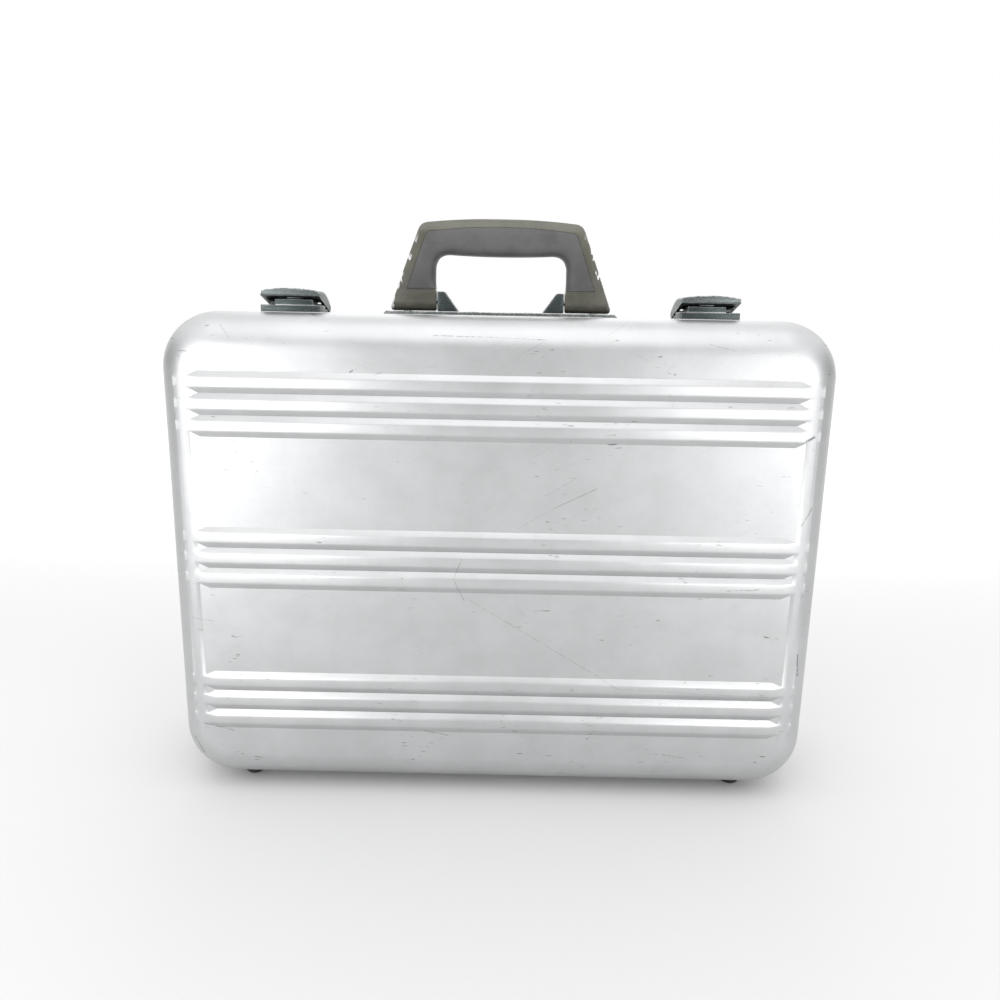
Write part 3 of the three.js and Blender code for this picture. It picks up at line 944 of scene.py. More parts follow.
@dataclass(frozen=True)
class SatinSheet(Finish):
    """Blasted and finely brushed drawn aluminium sheet with scratches and small nicks."""

    scratches: tuple[Scratch, ...] = ()

    def build(self, kit: ShaderKit) -> Material:
        """Make the material.

        Args:
            kit: The shared shader groups.

        Returns:
            The material.
        """
        material, tree, shader, place = self.start()
        fine = noise(tree, place, 2600.0, 2.0, 0.7)
        brushed = noise(tree, stretch(tree, place, (26.0, 26.0, 2300.0)), 1.0, 3.0, 0.7)
        cloud = noise(tree, stretch(tree, place, (30.0, 30.0, 34.0)), 1.0, 5.0, 0.7)
        streak = noise(tree, stretch(tree, place, (5.0, 5.0, 190.0)), 1.0, 3.0, 0.6)
        hair = maths(
            tree,
            "MAXIMUM",
            mask_of(tree, kit.hairlines, {"Vector": place, "Turn": 0.55, "Amount": 0.9}),
            mask_of(tree, kit.hairlines, {"Vector": place, "Turn": -0.35, "Amount": 0.8}),
        )
        marks = mask_of(tree, kit.nicks, {"Vector": place, "Density": 0.85})
        for scratch in self.scratches:
            start, end = scratch.start, scratch.end
            links = {
                "Vector": place,
                "Start": (start[0], 0.0, start[1]),
                "End": (end[0], 0.0, end[1]),
                "Width": scratch.width,
                "Wobble": scratch.wobble,
            }
            mask = maths(tree, "MULTIPLY", mask_of(tree, kit.stroke, links), scratch.depth)
            marks = maths(tree, "MAXIMUM", marks, mask)
        bright = tone(self.color, 1.03)
        dull = tone(self.color, 0.95)
        colour = blend_color(tree, ramp(tree, cloud, 0.32, 0.68), dull, bright)
        colour = blend_color(tree, scaled(tree, ramp(tree, streak, 0.45, 0.7), 0.18), colour, bright)
        colour = blend_color(tree, scaled(tree, ramp(tree, fine, 0.5, 0.62), 0.10), colour, dull)
        colour = blend_color(tree, scaled(tree, hair, 0.4), colour, (0.36, 0.365, 0.37, 1.0))
        colour = blend_color(tree, marks, colour, (0.16, 0.165, 0.17, 1.0))
        tree.links.new(colour, shader.inputs["Base Color"])
        rough = maths(tree, "ADD", self.roughness - 0.04, scaled(tree, cloud, 0.08))
        rough = maths(tree, "ADD", rough, scaled(tree, fine, 0.06))
        tree.links.new(maths(tree, "SUBTRACT", rough, scaled(tree, hair, 0.1)), shader.inputs["Roughness"])
        height = maths(tree, "ADD", scaled(tree, fine, 0.5), scaled(tree, brushed, 0.6))
        height = maths(tree, "SUBTRACT", height, scaled(tree, marks, 1.4))
        height = maths(tree, "SUBTRACT", height, scaled(tree, hair, 0.6))
        add_bump(tree, shader, height, 0.35, 0.00006)
        return material


@dataclass(frozen=True)
class WornHighlightedMetal(Finish):
    """Cast or machined fittings with speckle, light scratches and bright edges, partly abraded metal and
    partly a painted highlight.
    """

    bare: Color = (0.86, 0.87, 0.87)
    wear_and_highlight_amount: float = 0.8
    grain: float = 900.0
    edge: float = 0.0009
    bare_and_highlight_share: float = 0.5
    shelter: tuple[float, float, float] = (0.0, 0.0, 0.0)
    mottle: float = 1.0

    def build(self, kit: ShaderKit) -> Material:
        """Make the material.

        Args:
            kit: The shared shader groups.

        Returns:
            The material.
        """
        material, tree, shader, place = self.start()
        speckle = noise(tree, place, self.grain, 4.0, 0.7)
        cloud = noise(tree, place, 60.0, 4.0, 0.6)
        hair = mask_of(tree, kit.hairlines, {"Vector": place, "Turn": 0.3, "Amount": 0.8})
        links = {"Vector": place, "Radius": self.edge, "Bare": self.bare_and_highlight_share, "Amount": self.wear_and_highlight_amount}
        wear_and_highlight = mask_of(tree, kit.edge_wear_and_highlight, links)
        if self.shelter[1] > 0:
            wear_and_highlight = maths(tree, "MULTIPLY", wear_and_highlight, self.unsheltered(tree, place))
        dark = tone(self.color, 1 - 0.38 * self.mottle)
        light = tone(self.color, 1 + 0.25 * self.mottle)
        colour = blend_color(tree, ramp(tree, speckle, 0.35, 0.65), dark, light)
        colour = blend_color(tree, scaled(tree, ramp(tree, cloud, 0.4, 0.7), 0.35), colour, dark)
        colour = blend_color(tree, scaled(tree, hair, 0.5), colour, (*self.bare, 1.0))
        # Bright edges: partly abraded metal, partly a painted highlight.
        colour = blend_color(tree, wear_and_highlight, colour, (*self.bare, 1.0))
        tree.links.new(colour, shader.inputs["Base Color"])
        rough = maths(tree, "ADD", self.roughness - 0.1, scaled(tree, cloud, 0.22))
        tree.links.new(rough, shader.inputs["Roughness"])
        height = maths(tree, "SUBTRACT", speckle, scaled(tree, wear_and_highlight, 0.5))
        add_bump(tree, shader, height, 0.3, 0.00008)
        return material

    def unsheltered(self, tree: Tree, place: Socket) -> Socket:
        """Mask of all but the sheltered part, between two distances from the middle and under a height.

        Args:
            tree: The material's node tree.
            place: The object position.

        Returns:
            The mask.
        """
        near, far, height = self.shelter
        parts = add_node(tree, "SeparateXYZ", {"Vector": place}).outputs
        offset = maths(tree, "SUBTRACT", maths(tree, "ABSOLUTE", parts["X"]), (near + far) / 2)
        beside = maths(tree, "GREATER_THAN", maths(tree, "ABSOLUTE", offset), (far - near) / 2)
        return maths(tree, "MAXIMUM", beside, maths(tree, "GREATER_THAN", parts["Z"], height))


@dataclass(frozen=True)
class Moulding(Finish):
    """Moulded plastic or rubber with a fine grain, and, where asked, pale chip marks on the handle's slanted
    outer sides, partly chipped plastic and partly a painted highlight.
    """

    chips_and_highlights: float = 0.0
    chip_and_highlight_color: Color = (0.8, 0.81, 0.82)
    grain: float = 1300.0
    grain_depth: float = 0.00008

    def build(self, kit: ShaderKit) -> Material:
        """Make the material.

        Args:
            kit: The shared shader groups.

        Returns:
            The material.
        """
        material, tree, shader, place = self.start()
        cloud = noise(tree, place, 45.0, 4.0, 0.6)
        grain = noise(tree, place, self.grain, 3.0, 0.6)
        scuffs = mask_of(tree, kit.hairlines, {"Vector": place, "Turn": 0.8, "Amount": 0.5})
        dark = tone(self.color, 0.82)
        light = tone(self.color, 1.16)
        colour = blend_color(tree, ramp(tree, cloud, 0.35, 0.65), dark, light)
        colour = blend_color(tree, scaled(tree, scuffs, 0.3), colour, (0.4, 0.4, 0.39, 1.0))
        rough = maths(tree, "ADD", self.roughness - 0.08, scaled(tree, cloud, 0.16))
        if self.chips_and_highlights > 0:
            wear_and_highlight = self.side_chips_and_highlights(tree, place)
            # Pale marks on the slanted sides: partly chipped plastic, partly a painted highlight.
            colour = blend_color(tree, wear_and_highlight, colour, (*self.chip_and_highlight_color, 1.0))
            rough = maths(tree, "SUBTRACT", rough, scaled(tree, wear_and_highlight, 0.1))
        tree.links.new(colour, shader.inputs["Base Color"])
        tree.links.new(rough, shader.inputs["Roughness"])
        add_bump(tree, shader, grain, 0.4, self.grain_depth)
        return material

    def side_chips_and_highlights(self, tree: Tree, place: Socket) -> Socket:
        """Mask of pale chip marks along the slanted outer sides of the handle, partly chipped plastic and
        partly a painted highlight.

        Args:
            tree: The material's node tree.
            place: The object position.

        Returns:
            The mask.
        """
        parts = add_node(tree, "SeparateXYZ", {"Vector": place}).outputs
        rise = maths(tree, "SUBTRACT", parts["Z"], TOP + 0.0028)
        side = maths(tree, "SUBTRACT", 0.0788, scaled(tree, rise, 0.371))
        depth = maths(tree, "SUBTRACT", side, maths(tree, "ABSOLUTE", parts["X"]))
        rough = noise(tree, stretch(tree, place, (230.0, 230.0, 90.0)), 1.0, 4.0, 0.7)
        reach = ramp(tree, rough, 0.43, 0.63, -0.0013, 0.0021)
        near = ramp(tree, maths(tree, "SUBTRACT", reach, depth), 0.0, 0.0003)
        low = ramp(tree, rise, 0.056, 0.040)
        return maths(tree, "MULTIPLY", maths(tree, "MULTIPLY", near, low), self.chips_and_highlights, clamp=True)


@dataclass(frozen=True)
class WovenCloth(Finish):
    """Lining cloth with a visible weave and a faint nap."""

    thread: float = 0.0009

    def build(self, kit: ShaderKit) -> Material:
        """Make the material.

        Args:
            kit: The shared shader groups, not used by cloth.

        Returns:
            The material.
        """
        material, tree, shader, place = self.start()
        parts = add_node(tree, "SeparateXYZ", {"Vector": place}).outputs
        turns = math.tau / self.thread
        across, upward = (
            maths(tree, "SINE", scaled(tree, maths(tree, "ADD", parts[axis], parts["Y"]), turns))
            for axis in ("X", "Z")
        )
        weave = maths(tree, "MULTIPLY", across, upward)
        nap = noise(tree, place, 240.0, 4.0, 0.7)
        dark = tone(self.color, 0.7)
        light = tone(self.color, 1.35)
        mixed = maths(tree, "ADD", scaled(tree, weave, 0.25), nap)
        colour = blend_color(tree, ramp(tree, mixed, 0.2, 0.8), dark, light)
        tree.links.new(colour, shader.inputs["Base Color"])
        shader.inputs["Sheen Weight"].default_value = 0.25
        add_bump(tree, shader, mixed, 0.5, 0.0002)
        return material


@dataclass(frozen=True)
class Leatherette(Finish):
    """Grained leather-like sheet for the pockets."""

    def build(self, kit: ShaderKit) -> Material:
        """Make the material.

        Args:
            kit: The shared shader groups, not used.

        Returns:
            The material.
        """
        material, tree, shader, place = self.start()
        links = {"Vector": place, "Scale": 650.0}
        cells = add_node(tree, "TexVoronoi", links, feature="DISTANCE_TO_EDGE").outputs[0]
        cloud = noise(tree, place, 30.0, 4.0)
        grain = ramp(tree, cells, 0.0, 0.25)
        dark = tone(self.color, 0.6)
        light = tone(self.color, 1.3)
        colour = blend_color(tree, ramp(tree, cloud, 0.3, 0.7), dark, light)
        tree.links.new(blend_color(tree, grain, dark, colour), shader.inputs["Base Color"])
        add_bump(tree, shader, grain, 0.5, 0.0002)
        return material


@dataclass(frozen=True)
class Palette:
    """Every material of the case."""

    lid_sheet: Material
    body_sheet: Material
    frame_metal: Material
    zinc: Material
    lever_zinc: Material
    steel: Material
    brass: Material
    moulding: Material
    grip: Material
    rubber: Material
    cloth: Material
    leather: Material
    thread: Material

    @staticmethod
    def make(kit: ShaderKit) -> "Palette":
        """Build the materials.

        Args:
            kit: The shared shader groups.

        Returns:
            The palette.
        """
        sheet = (0.54, 0.545, 0.55)
        return Palette(
            lid_sheet=SatinSheet("lid_satin_sheet", sheet, 0.38, 1.0, scratches=LID_SCRATCHES).build(kit),
            body_sheet=SatinSheet("body_satin_sheet", sheet, 0.38, 1.0).build(kit),
            frame_metal=WornHighlightedMetal(
                "frame_extrusion", (0.62, 0.63, 0.64), 0.38, 1.0, wear_and_highlight_amount=0.2, mottle=0.2,
            ).build(kit),
            zinc=WornHighlightedMetal(
                "die_cast_zinc", (0.074, 0.090, 0.090), 0.34, 0.85, wear_and_highlight_amount=1.0, edge=0.0009, bare_and_highlight_share=0.75,
            ).build(kit),
            lever_zinc=WornHighlightedMetal(
                "lever_zinc", (0.165, 0.185, 0.184), 0.34, 0.9, wear_and_highlight_amount=1.0, edge=0.0014,
                shelter=(0.1350, 0.1470, TOP + 0.0126),
            ).build(kit),
            steel=WornHighlightedMetal(
                "brushed_steel", (0.56, 0.57, 0.58), 0.32, 1.0, wear_and_highlight_amount=0.3, mottle=0.25,
            ).build(kit),
            brass=WornHighlightedMetal(
                "key_barrel_metal", (0.62, 0.62, 0.60), 0.25, 1.0, wear_and_highlight_amount=0.3, mottle=0.25,
            ).build(kit),
            moulding=Moulding(
                "olive_moulding", (0.092, 0.090, 0.070), 0.28, coat=0.3, chips_and_highlights=0.85,
            ).build(kit),
            grip=Moulding("grey_grip", (0.083, 0.082, 0.082), 0.6, grain_depth=0.00012).build(kit),
            rubber=Moulding("black_rubber", (0.022, 0.022, 0.023), 0.6).build(kit),
            cloth=WovenCloth("lining_cloth", (0.055, 0.056, 0.062), 0.92).build(kit),
            leather=Leatherette("pocket_leatherette", (0.035, 0.033, 0.032), 0.55).build(kit),
            thread=WovenCloth("stitch_thread", (0.16, 0.155, 0.15), 0.85).build(kit),
        )


def dress(obj: Piece, material: Material, slot: str, body: str, *nodes: str) -> Piece:
    """Give a finished piece its material, its body and the frame nodes that it stands for.

    Args:
        obj: The finished piece.
        material: Its material.
        slot: A material slot name, not used.
        body: The frame body that it rides on.
        nodes: The frame nodes that it replaces.

    Returns:
        The same piece.
    """
    obj.data.materials.clear()
    obj.data.materials.append(material)
    for polygon in obj.data.polygons:
        polygon.material_index = 0
    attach(obj, body)
    if nodes:
        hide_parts(*nodes)
    return obj


# ---- Sub-assemblies ---------------------------------------------------------------------------------------


@dataclass
class DrawnShell:
    """One half's drawn sheet, with three groups of three flat-topped ribs."""

    half: Half
    look: Palette
    group_spacing: float = 0.1065
    lift: float = 0.0027
    flat: float = 0.0065
    slope: float = 0.0041
    count: int = 3
    full: float = 0.398
    faded: float = 0.432
    crest_r: float = 0.0009
    root: float = 0.6
    sink: float = 1.91
    rim_gap: float = 0.0029

    def build(self) -> list[Piece]:
        """Model the shell.

        Returns:
            The finished pieces.
        """
        sign = self.half.value
        rim = PARTING_Y + sign * self.rim_gap
        outer = self.pan("outer", 0.0, rim)
        for row in self.rows():
            combine(outer, self.rib(row), "UNION")
        combine(outer, self.pan("inner", SKIN, rim - sign * 0.02), "DIFFERENCE")
        name = self.half.label
        shell = rename(smooth(outward(outer), 28), f"{name}_drawn_shell")
        material = self.look.lid_sheet if self.half is Half.LID else self.look.body_sheet
        return [dress(shell, material, "satin_sheet", name, f"{name}_shell")]

    def rows(self) -> Iterable[float]:
        """The height of each rib's middle.

        Returns:
            The heights.
        """
        pitch = self.flat + 2 * self.slope
        for group in (-1, 0, 1):
            for index in range(self.count):
                step = (index - (self.count - 1) / 2) * pitch
                yield MID_Z + self.lift + group * self.group_spacing + step

    def pan(self, name: str, inset: float, rim: float) -> Piece:
        """The half as a solid block, shrunk by an inset."""
        return rounded_pan(name, inset, self.half.value * (PANEL_Y - inset), rim, EDGE_R - inset, (18, 14))

    def rib(self, middle: float) -> Piece:
        """One rib as a bar with a rounded crest and ends that fade into the face.

        Args:
            middle: The height of its middle.

        Returns:
            The bar.
        """
        sign = self.half.value
        face, crest = sign * PANEL_Y, sign * (PANEL_Y + RIB_H)
        low = face - sign * SKIN * self.root
        base = self.flat / 2 + self.slope
        section = [
            (low, middle - base), (face, middle - base), (crest, middle - self.flat / 2),
            (crest, middle + self.flat / 2), (face, middle + base), (low, middle + base),
        ]
        bar = prism("rib", Plane.YZ, section, -self.full / 2, self.full / 2)

        def on_crest(a: Vector, b: Vector) -> bool:
            """Whether an edge runs along the crest."""
            return abs(a.x - b.x) > 0.01 and abs(a.y - crest) < NEAR and abs(b.y - crest) < NEAR

        bevel_edges(bar, on_crest, self.crest_r, 3)
        for end in (-1, 1):
            tip = end * self.full / 2
            pick(bar, lambda co: abs(co.x - tip) < NEAR)
            run_out = (end * (self.faded - self.full) / 2, -sign * RIB_H * self.sink, 0)
            bpy.ops.mesh.extrude_region_move(TRANSFORM_OT_translate={"value": run_out})
            bpy.ops.object.mode_set(mode="OBJECT")
        return outward(bar)


@dataclass
class FrameRing:
    """One half's extruded frame and its rivets; the body's frame also carries the seal."""

    half: Half
    look: Palette
    flange: Point = (0.0, 0.008)
    web: Point = (0.0018, 0.0036)
    groove: Point = (0.0029, 0.0065)
    seal: Point = (0.0032, 0.0062)
    gap: float = 0.0003
    flange_t: float = 0.0023
    web_depth: float = 0.014
    seal_t: float = 0.0013
    rivet_y: float = 0.0085
    rivet_stand: float = 0.0004
    rivets_x: tuple[float, ...] = (-0.15, -0.05, 0.05, 0.15)
    rivets_z: tuple[float, ...] = (0.06, 0.12, 0.23, 0.29)

    def build(self) -> list[Piece]:
        """Model the frame.

        Returns:
            The finished pieces.
        """
        sign = self.half.value
        name = self.half.label
        mating = PARTING_Y + sign * self.gap
        flange = self.ring("flange", *self.flange, mating, mating + sign * self.flange_t)
        web = self.ring("web", *self.web, mating + sign * 0.0005, mating + sign * self.web_depth)
        ring = combine(flange, web, "UNION")
        if self.half is Half.BODY:
            groove = self.ring("groove", *self.groove, mating - 0.001, mating + self.seal_t)
            combine(ring, groove, "DIFFERENCE")
        soften(ring, 0.00035, 2)
        ring = rename(smooth(ring), f"{name}_frame_ring")
        made = [dress(ring, self.look.frame_metal, "frame_extrusion", name, f"{name}_frame")]
        made.append(self.rivets(name, mating + sign * self.rivet_y))
        if self.half is Half.BODY:
            seal = self.ring("seal", *self.seal, PARTING_Y, PARTING_Y + self.seal_t)
            soften(seal, 0.0004, 2)
            seal = rename(smooth(seal), "seal_strip")
            made.append(dress(seal, self.look.rubber, "seal_rubber", "body", "seal_gasket"))
        return made

    def ring(self, name: str, outer: float, inner: float, near: float, far: float) -> Piece:
        """A band between two insets of the case's outline.

        Args:
            name: The new object's name.
            outer: Inset of its outer side.
            inner: Inset of its inner side.
            near: Where it starts in Y.
            far: Where it ends.

        Returns:
            The band.
        """
        ring = prism(name, Plane.XZ, case_outline(outer), near, far)
        low, high = min(near, far) - 0.005, max(near, far) + 0.005
        return combine(ring, prism("hole", Plane.XZ, case_outline(inner), low, high), "DIFFERENCE")

    def rivets(self, name: str, depth: float) -> Piece:
        """Rivet heads inside the frame's web, on all four sides.

        Args:
            name: The half's name.
            depth: Where the rivets stand in Y.

        Returns:
            The rivet heads as one object.
        """
        heads = []
        inner = self.web[1] + self.rivet_stand
        for x in self.rivets_x:
            for z, axis in ((FOOT_H + inner, 1), (TOP - inner, -1)):
                heads.append(self.head((x, depth, z), (0, 0, axis)))
        for z in self.rivets_z:
            for side in (-1, 1):
                heads.append(self.head((side * (CASE_W / 2 - inner), depth, z), (-side, 0, 0)))
        return dress(smooth(fuse(f"{name}_frame_rivets", heads), 50), self.look.steel, "steel_fittings", name)

    @staticmethod
    def head(at: Sequence[float], facing: Sequence[float]) -> Piece:
        """One low domed rivet head."""
        axis = "z" if facing[2] else "x"
        return rod("rivet_head", axis, 0.0021, 0.0011, at, 16, 0.0004)


@dataclass
class Handle:
    """The outer moulding, the grip insert, and the fittings that carry them."""

    look: Palette
    foot_w: float = 0.0788
    foot_z: float = 0.0028
    top_w: float = 0.0564
    top_z: float = 0.0631
    crown_z: float = 0.0666
    boot_z: float = 0.0173
    boot_inner: float = 0.0462
    inner_w: float = 0.046
    inner_z: float = 0.0422
    sag_z: float = 0.0412
    pivot_z: float = 0.010
    corner_r: float = 0.0092
    shell_half: float = 0.0100
    shell_boot: float = 0.0072
    shell_round: float = 0.0021
    grip_half: float = 0.0104
    grip_boot: float = 0.0075
    finger_r: float = 0.0056
    seat_gap: float = 0.00025
    pin_r: float = 0.002
    bore_r: float = 0.0024
    plate_half: float = 0.083
    plate_w: float = 0.032
    plate_h: float = 0.0024
    ear_w: float = 0.016
    ear_side: tuple[Point, ...] = (
        (0.0303, 0.0027), (0.0396, 0.0155), (0.0404, 0.0164), (0.0450, 0.0164), (0.0452, 0.0027),
    )

    def build(self) -> list[Piece]:
        """Model the handle.

        Returns:
            The finished pieces.
        """
        shell = self.moulding()
        grip = self.grip()
        made = [
            dress(shell, self.look.moulding, "handle_moulding", "handle", "handle_shell"),
            dress(grip, self.look.grip, "grip_insert", "handle", "handle_grip"),
        ]
        made += self.fittings()
        return made

    def outline(self) -> list[Point]:
        """The handle's outline in X and Z, over the top wall, with its finger opening.

        Returns:
            The points.
        """
        w, z = self.foot_w, self.foot_z
        right = [(w - 0.0025, z)]
        right += curve(right[-1], (w + 0.0006, z), (w - 0.0004, z + 0.0034), 5)
        right.append((self.top_w + 0.0018, self.top_z - 0.0042))
        shoulder = (self.top_w - 0.0044, self.top_z + 0.0005)
        right += curve(right[-1], (self.top_w + 0.0001, self.top_z), shoulder, 6)
        control = (0.0, 2 * self.crown_z - self.top_z - 0.0005)
        crown = curve(shoulder, control, (-shoulder[0], shoulder[1]), 22)
        outer = right + crown + [(-x, y) for x, y in reversed(right[:-1])]
        return outer + self.opening()

    def opening(self) -> list[Point]:
        """The finger opening and the boots' inner sides, from the left foot to the right one.

        Returns:
            The points.
        """
        z = self.foot_z
        inside = [(-self.boot_inner - 0.0015, z)]
        inside += curve(inside[-1], (-self.boot_inner, z), (-self.boot_inner, z + 0.0015), 3)
        inside.append((-self.boot_inner, self.boot_z - 0.001))
        shoulder = (-self.boot_inner - 0.0008, self.boot_z + 0.001)
        inside += curve(inside[-1], (-self.boot_inner, self.boot_z), shoulder, 3)
        r = self.corner_r
        inside.append((-self.inner_w - 0.0009, self.inner_z - r))
        inside += curve(inside[-1], (-self.inner_w, self.inner_z), (r - self.inner_w, self.inner_z), 8)
        side, sag = inside[:-1], 2 * self.sag_z - self.inner_z
        inside += curve(inside[-1], (0.0, sag), (self.inner_w - r, self.inner_z), 12)
        return inside + [(-x, y) for x, y in reversed(side)]

    def insert(self, grow: float = 0.0) -> list[Point]:
        """The grip insert's outline in X and Z, over the top wall.

        Args:
            grow: How much wider it is drawn all round.

        Returns:
            The points.
        """
        foot, brow = self.boot_z + 0.0008 - grow, self.top_z - 0.009
        crown = self.top_z - 0.0056 + grow
        right = [(0.0670 + grow, foot), (0.0653 + grow, self.boot_z + 0.005), (0.0535 + grow, brow)]
        right += curve(right[-1], (0.0524 + grow, crown), (0.0478, crown), 6)
        top = curve(right[-1], (0.0, crown + 0.006), (-0.0478, crown), 20)
        return right + top + [(-x, y) for x, y in reversed(right[:-1])]

    def section(self, half: float, boot: float) -> list[Point]:
        """The handle's side section in Y and Z, over the top wall.

        Args:
            half: Half the thickness of the hand grip.
            boot: Radius of the boots about the pivot.

        Returns:
            The points.
        """
        sole = arc((0.0, self.pivot_z), boot, 180, 360, 14)
        points = sole + [(boot, self.boot_z)]
        points += curve(points[-1], (half, 0.028), (half, 0.041), 8)
        points += [(half, 0.054)]
        points += curve(points[-1], (half - 0.0002, 0.0665), (0.0, 0.0681), 10)
        return points + [(-y, z) for y, z in reversed(points[len(sole):-1])]

    @staticmethod
    def shifted(points: Sequence[Point], dx: float = 0.0, dz: float = TOP) -> list[Point]:
        """Move points that are drawn over the top wall into the frame."""
        return [(x + dx, z + dz) for x, z in points]

    def bar(self, name: str, half: float, boot: float, round_r: float) -> Piece:
        """The whole handle as one solid, its edges rounded.

        Args:
            name: The new object's name.
            half: Half its thickness.
            boot: Radius of its boots.
            round_r: Radius of its rounded edges, or zero.

        Returns:
            The solid.
        """
        front = prism(name, Plane.XZ, self.shifted(self.outline()), HANDLE_Y - 0.02, HANDLE_Y + 0.02)
        side = prism("side", Plane.YZ, self.shifted(self.section(half, boot), HANDLE_Y), -0.09, 0.09)
        combine(front, side, "INTERSECT")
        return soften(front, round_r, 4, 35) if round_r > 0 else front

    def moulding(self) -> Piece:
        """The outer moulding: boots, side bands and the top band, with a seat for the grip.

        Returns:
            The moulding.
        """
        bar = self.bar("handle_moulding", self.shell_half, self.shell_boot, self.shell_round)
        outline = self.shifted(self.insert(self.seat_gap))
        seat = prism("seat", Plane.XZ, outline, HANDLE_Y - 0.03, HANDLE_Y + 0.03)
        combine(bar, seat, "DIFFERENCE")
        for side in (-1, 1):
            bore = rod("bore", "x", self.bore_r, 0.018, (side * 0.052, HANDLE_Y, TOP + self.pivot_z), 24)
            combine(bar, bore, "DIFFERENCE")
        return smooth(bar, 35)

    def grip(self) -> Piece:
        """The grip insert, a little proud of the moulding and full on the finger side.

        Returns:
            The insert.
        """
        bar = self.bar("handle_grip_insert", self.grip_half, self.grip_boot, 0.0)
        keep = prism("keep", Plane.XZ, self.shifted(self.insert(0.0)), HANDLE_Y - 0.03, HANDLE_Y + 0.03)
        combine(bar, keep, "INTERSECT")
        edge = self.shifted(self.opening())

        def fingers(a: Vector, b: Vector) -> bool:
            """Whether an edge runs along the finger opening's rim."""
            along = abs(a.y - b.y) < 0.6 * (a - b).length and abs(a.y - HANDLE_Y) > 0.004
            return along and a.z > TOP + self.boot_z + 0.002 and near_line(edge, a) and near_line(edge, b)

        bevel_edges(bar, fingers, self.finger_r, 6)
        soften(bar, 0.0009, 2, 50)
        return smooth(bar, 40)

    def fittings(self) -> list[Piece]:
        """Base plate, ears, pins and their screws.

        Returns:
            The finished pieces.
        """
        y, pivot = HANDLE_Y, TOP + self.pivot_z
        half, high, slant = self.plate_half, self.plate_h, 0.0022
        outline = self.shifted([(-half, 0.0003), (half, 0.0003), (half - slant, high), (slant - half, high)])
        near, far = y - self.plate_w / 2, y + self.plate_w / 2
        plate = prism("handle_base_plate", Plane.XZ, outline, near, far, 0.0005)
        made = [dress(smooth(plate), self.look.lever_zinc, "die_cast_zinc", "body", "handle_plate")]
        points = self.shifted(self.ear_side)
        near, far = y - self.ear_w / 2, y + self.ear_w / 2
        ear = prism("handle_ear_cast_right", Plane.XZ, points, near, far, 0.0007, 3)
        ear = smooth(combine(ear, rod("bore", "x", self.bore_r, 0.03, (0.044, y, pivot), 24), "DIFFERENCE"))
        left = mirrored(ear, "handle_ear_cast_left")
        pin = rod("handle_pin_turned_right", "x", self.pin_r, 0.019, (0.0504, y, pivot), 24, 0.0004)
        pin_left = mirrored(smooth(pin), "handle_pin_turned_left")
        for side, piece, pins in (("right", ear, pin), ("left", left, pin_left)):
            made.append(dress(piece, self.look.zinc, "die_cast_zinc", "body", f"handle_ear_{side}"))
            made.append(dress(pins, self.look.steel, "steel_fittings", "body", f"handle_pin_{side}"))
        places = [(x, y + dy, TOP + high) for x in (-0.066, 0.066, -0.02, 0.02) for dy in (-0.0115, 0.0115)]
        screws = fuse("handle_plate_screws", [screw(at, 0.0028) for at in places])
        made.append(dress(smooth(screws), self.look.steel, "steel_fittings", "body"))
        return made


def screw(at: Sequence[float], radius: float) -> Piece:
    """A low oval-head screw with a cross recess, standing on a level face.

    Args:
        at: The middle of its underside.
        radius: Its head's radius.

    Returns:
        The screw head.
    """
    profile = [(0.0, 0.0), (radius, 0.0), (radius, 0.0002), (radius * 0.7, 0.0006), (0.0, 0.0008)]
    head = turned("screw_head", profile, at, "z", 20)
    for wide, deep in ((radius * 0.62, 0.00025), (0.00025, radius * 0.62)):
        low = (at[0] - wide, at[1] - deep, at[2] + 0.0003)
        slot = block("slot", low, (at[0] + wide, at[1] + deep, at[2] + 0.002))
        combine(head, slot, "DIFFERENCE")
    return head


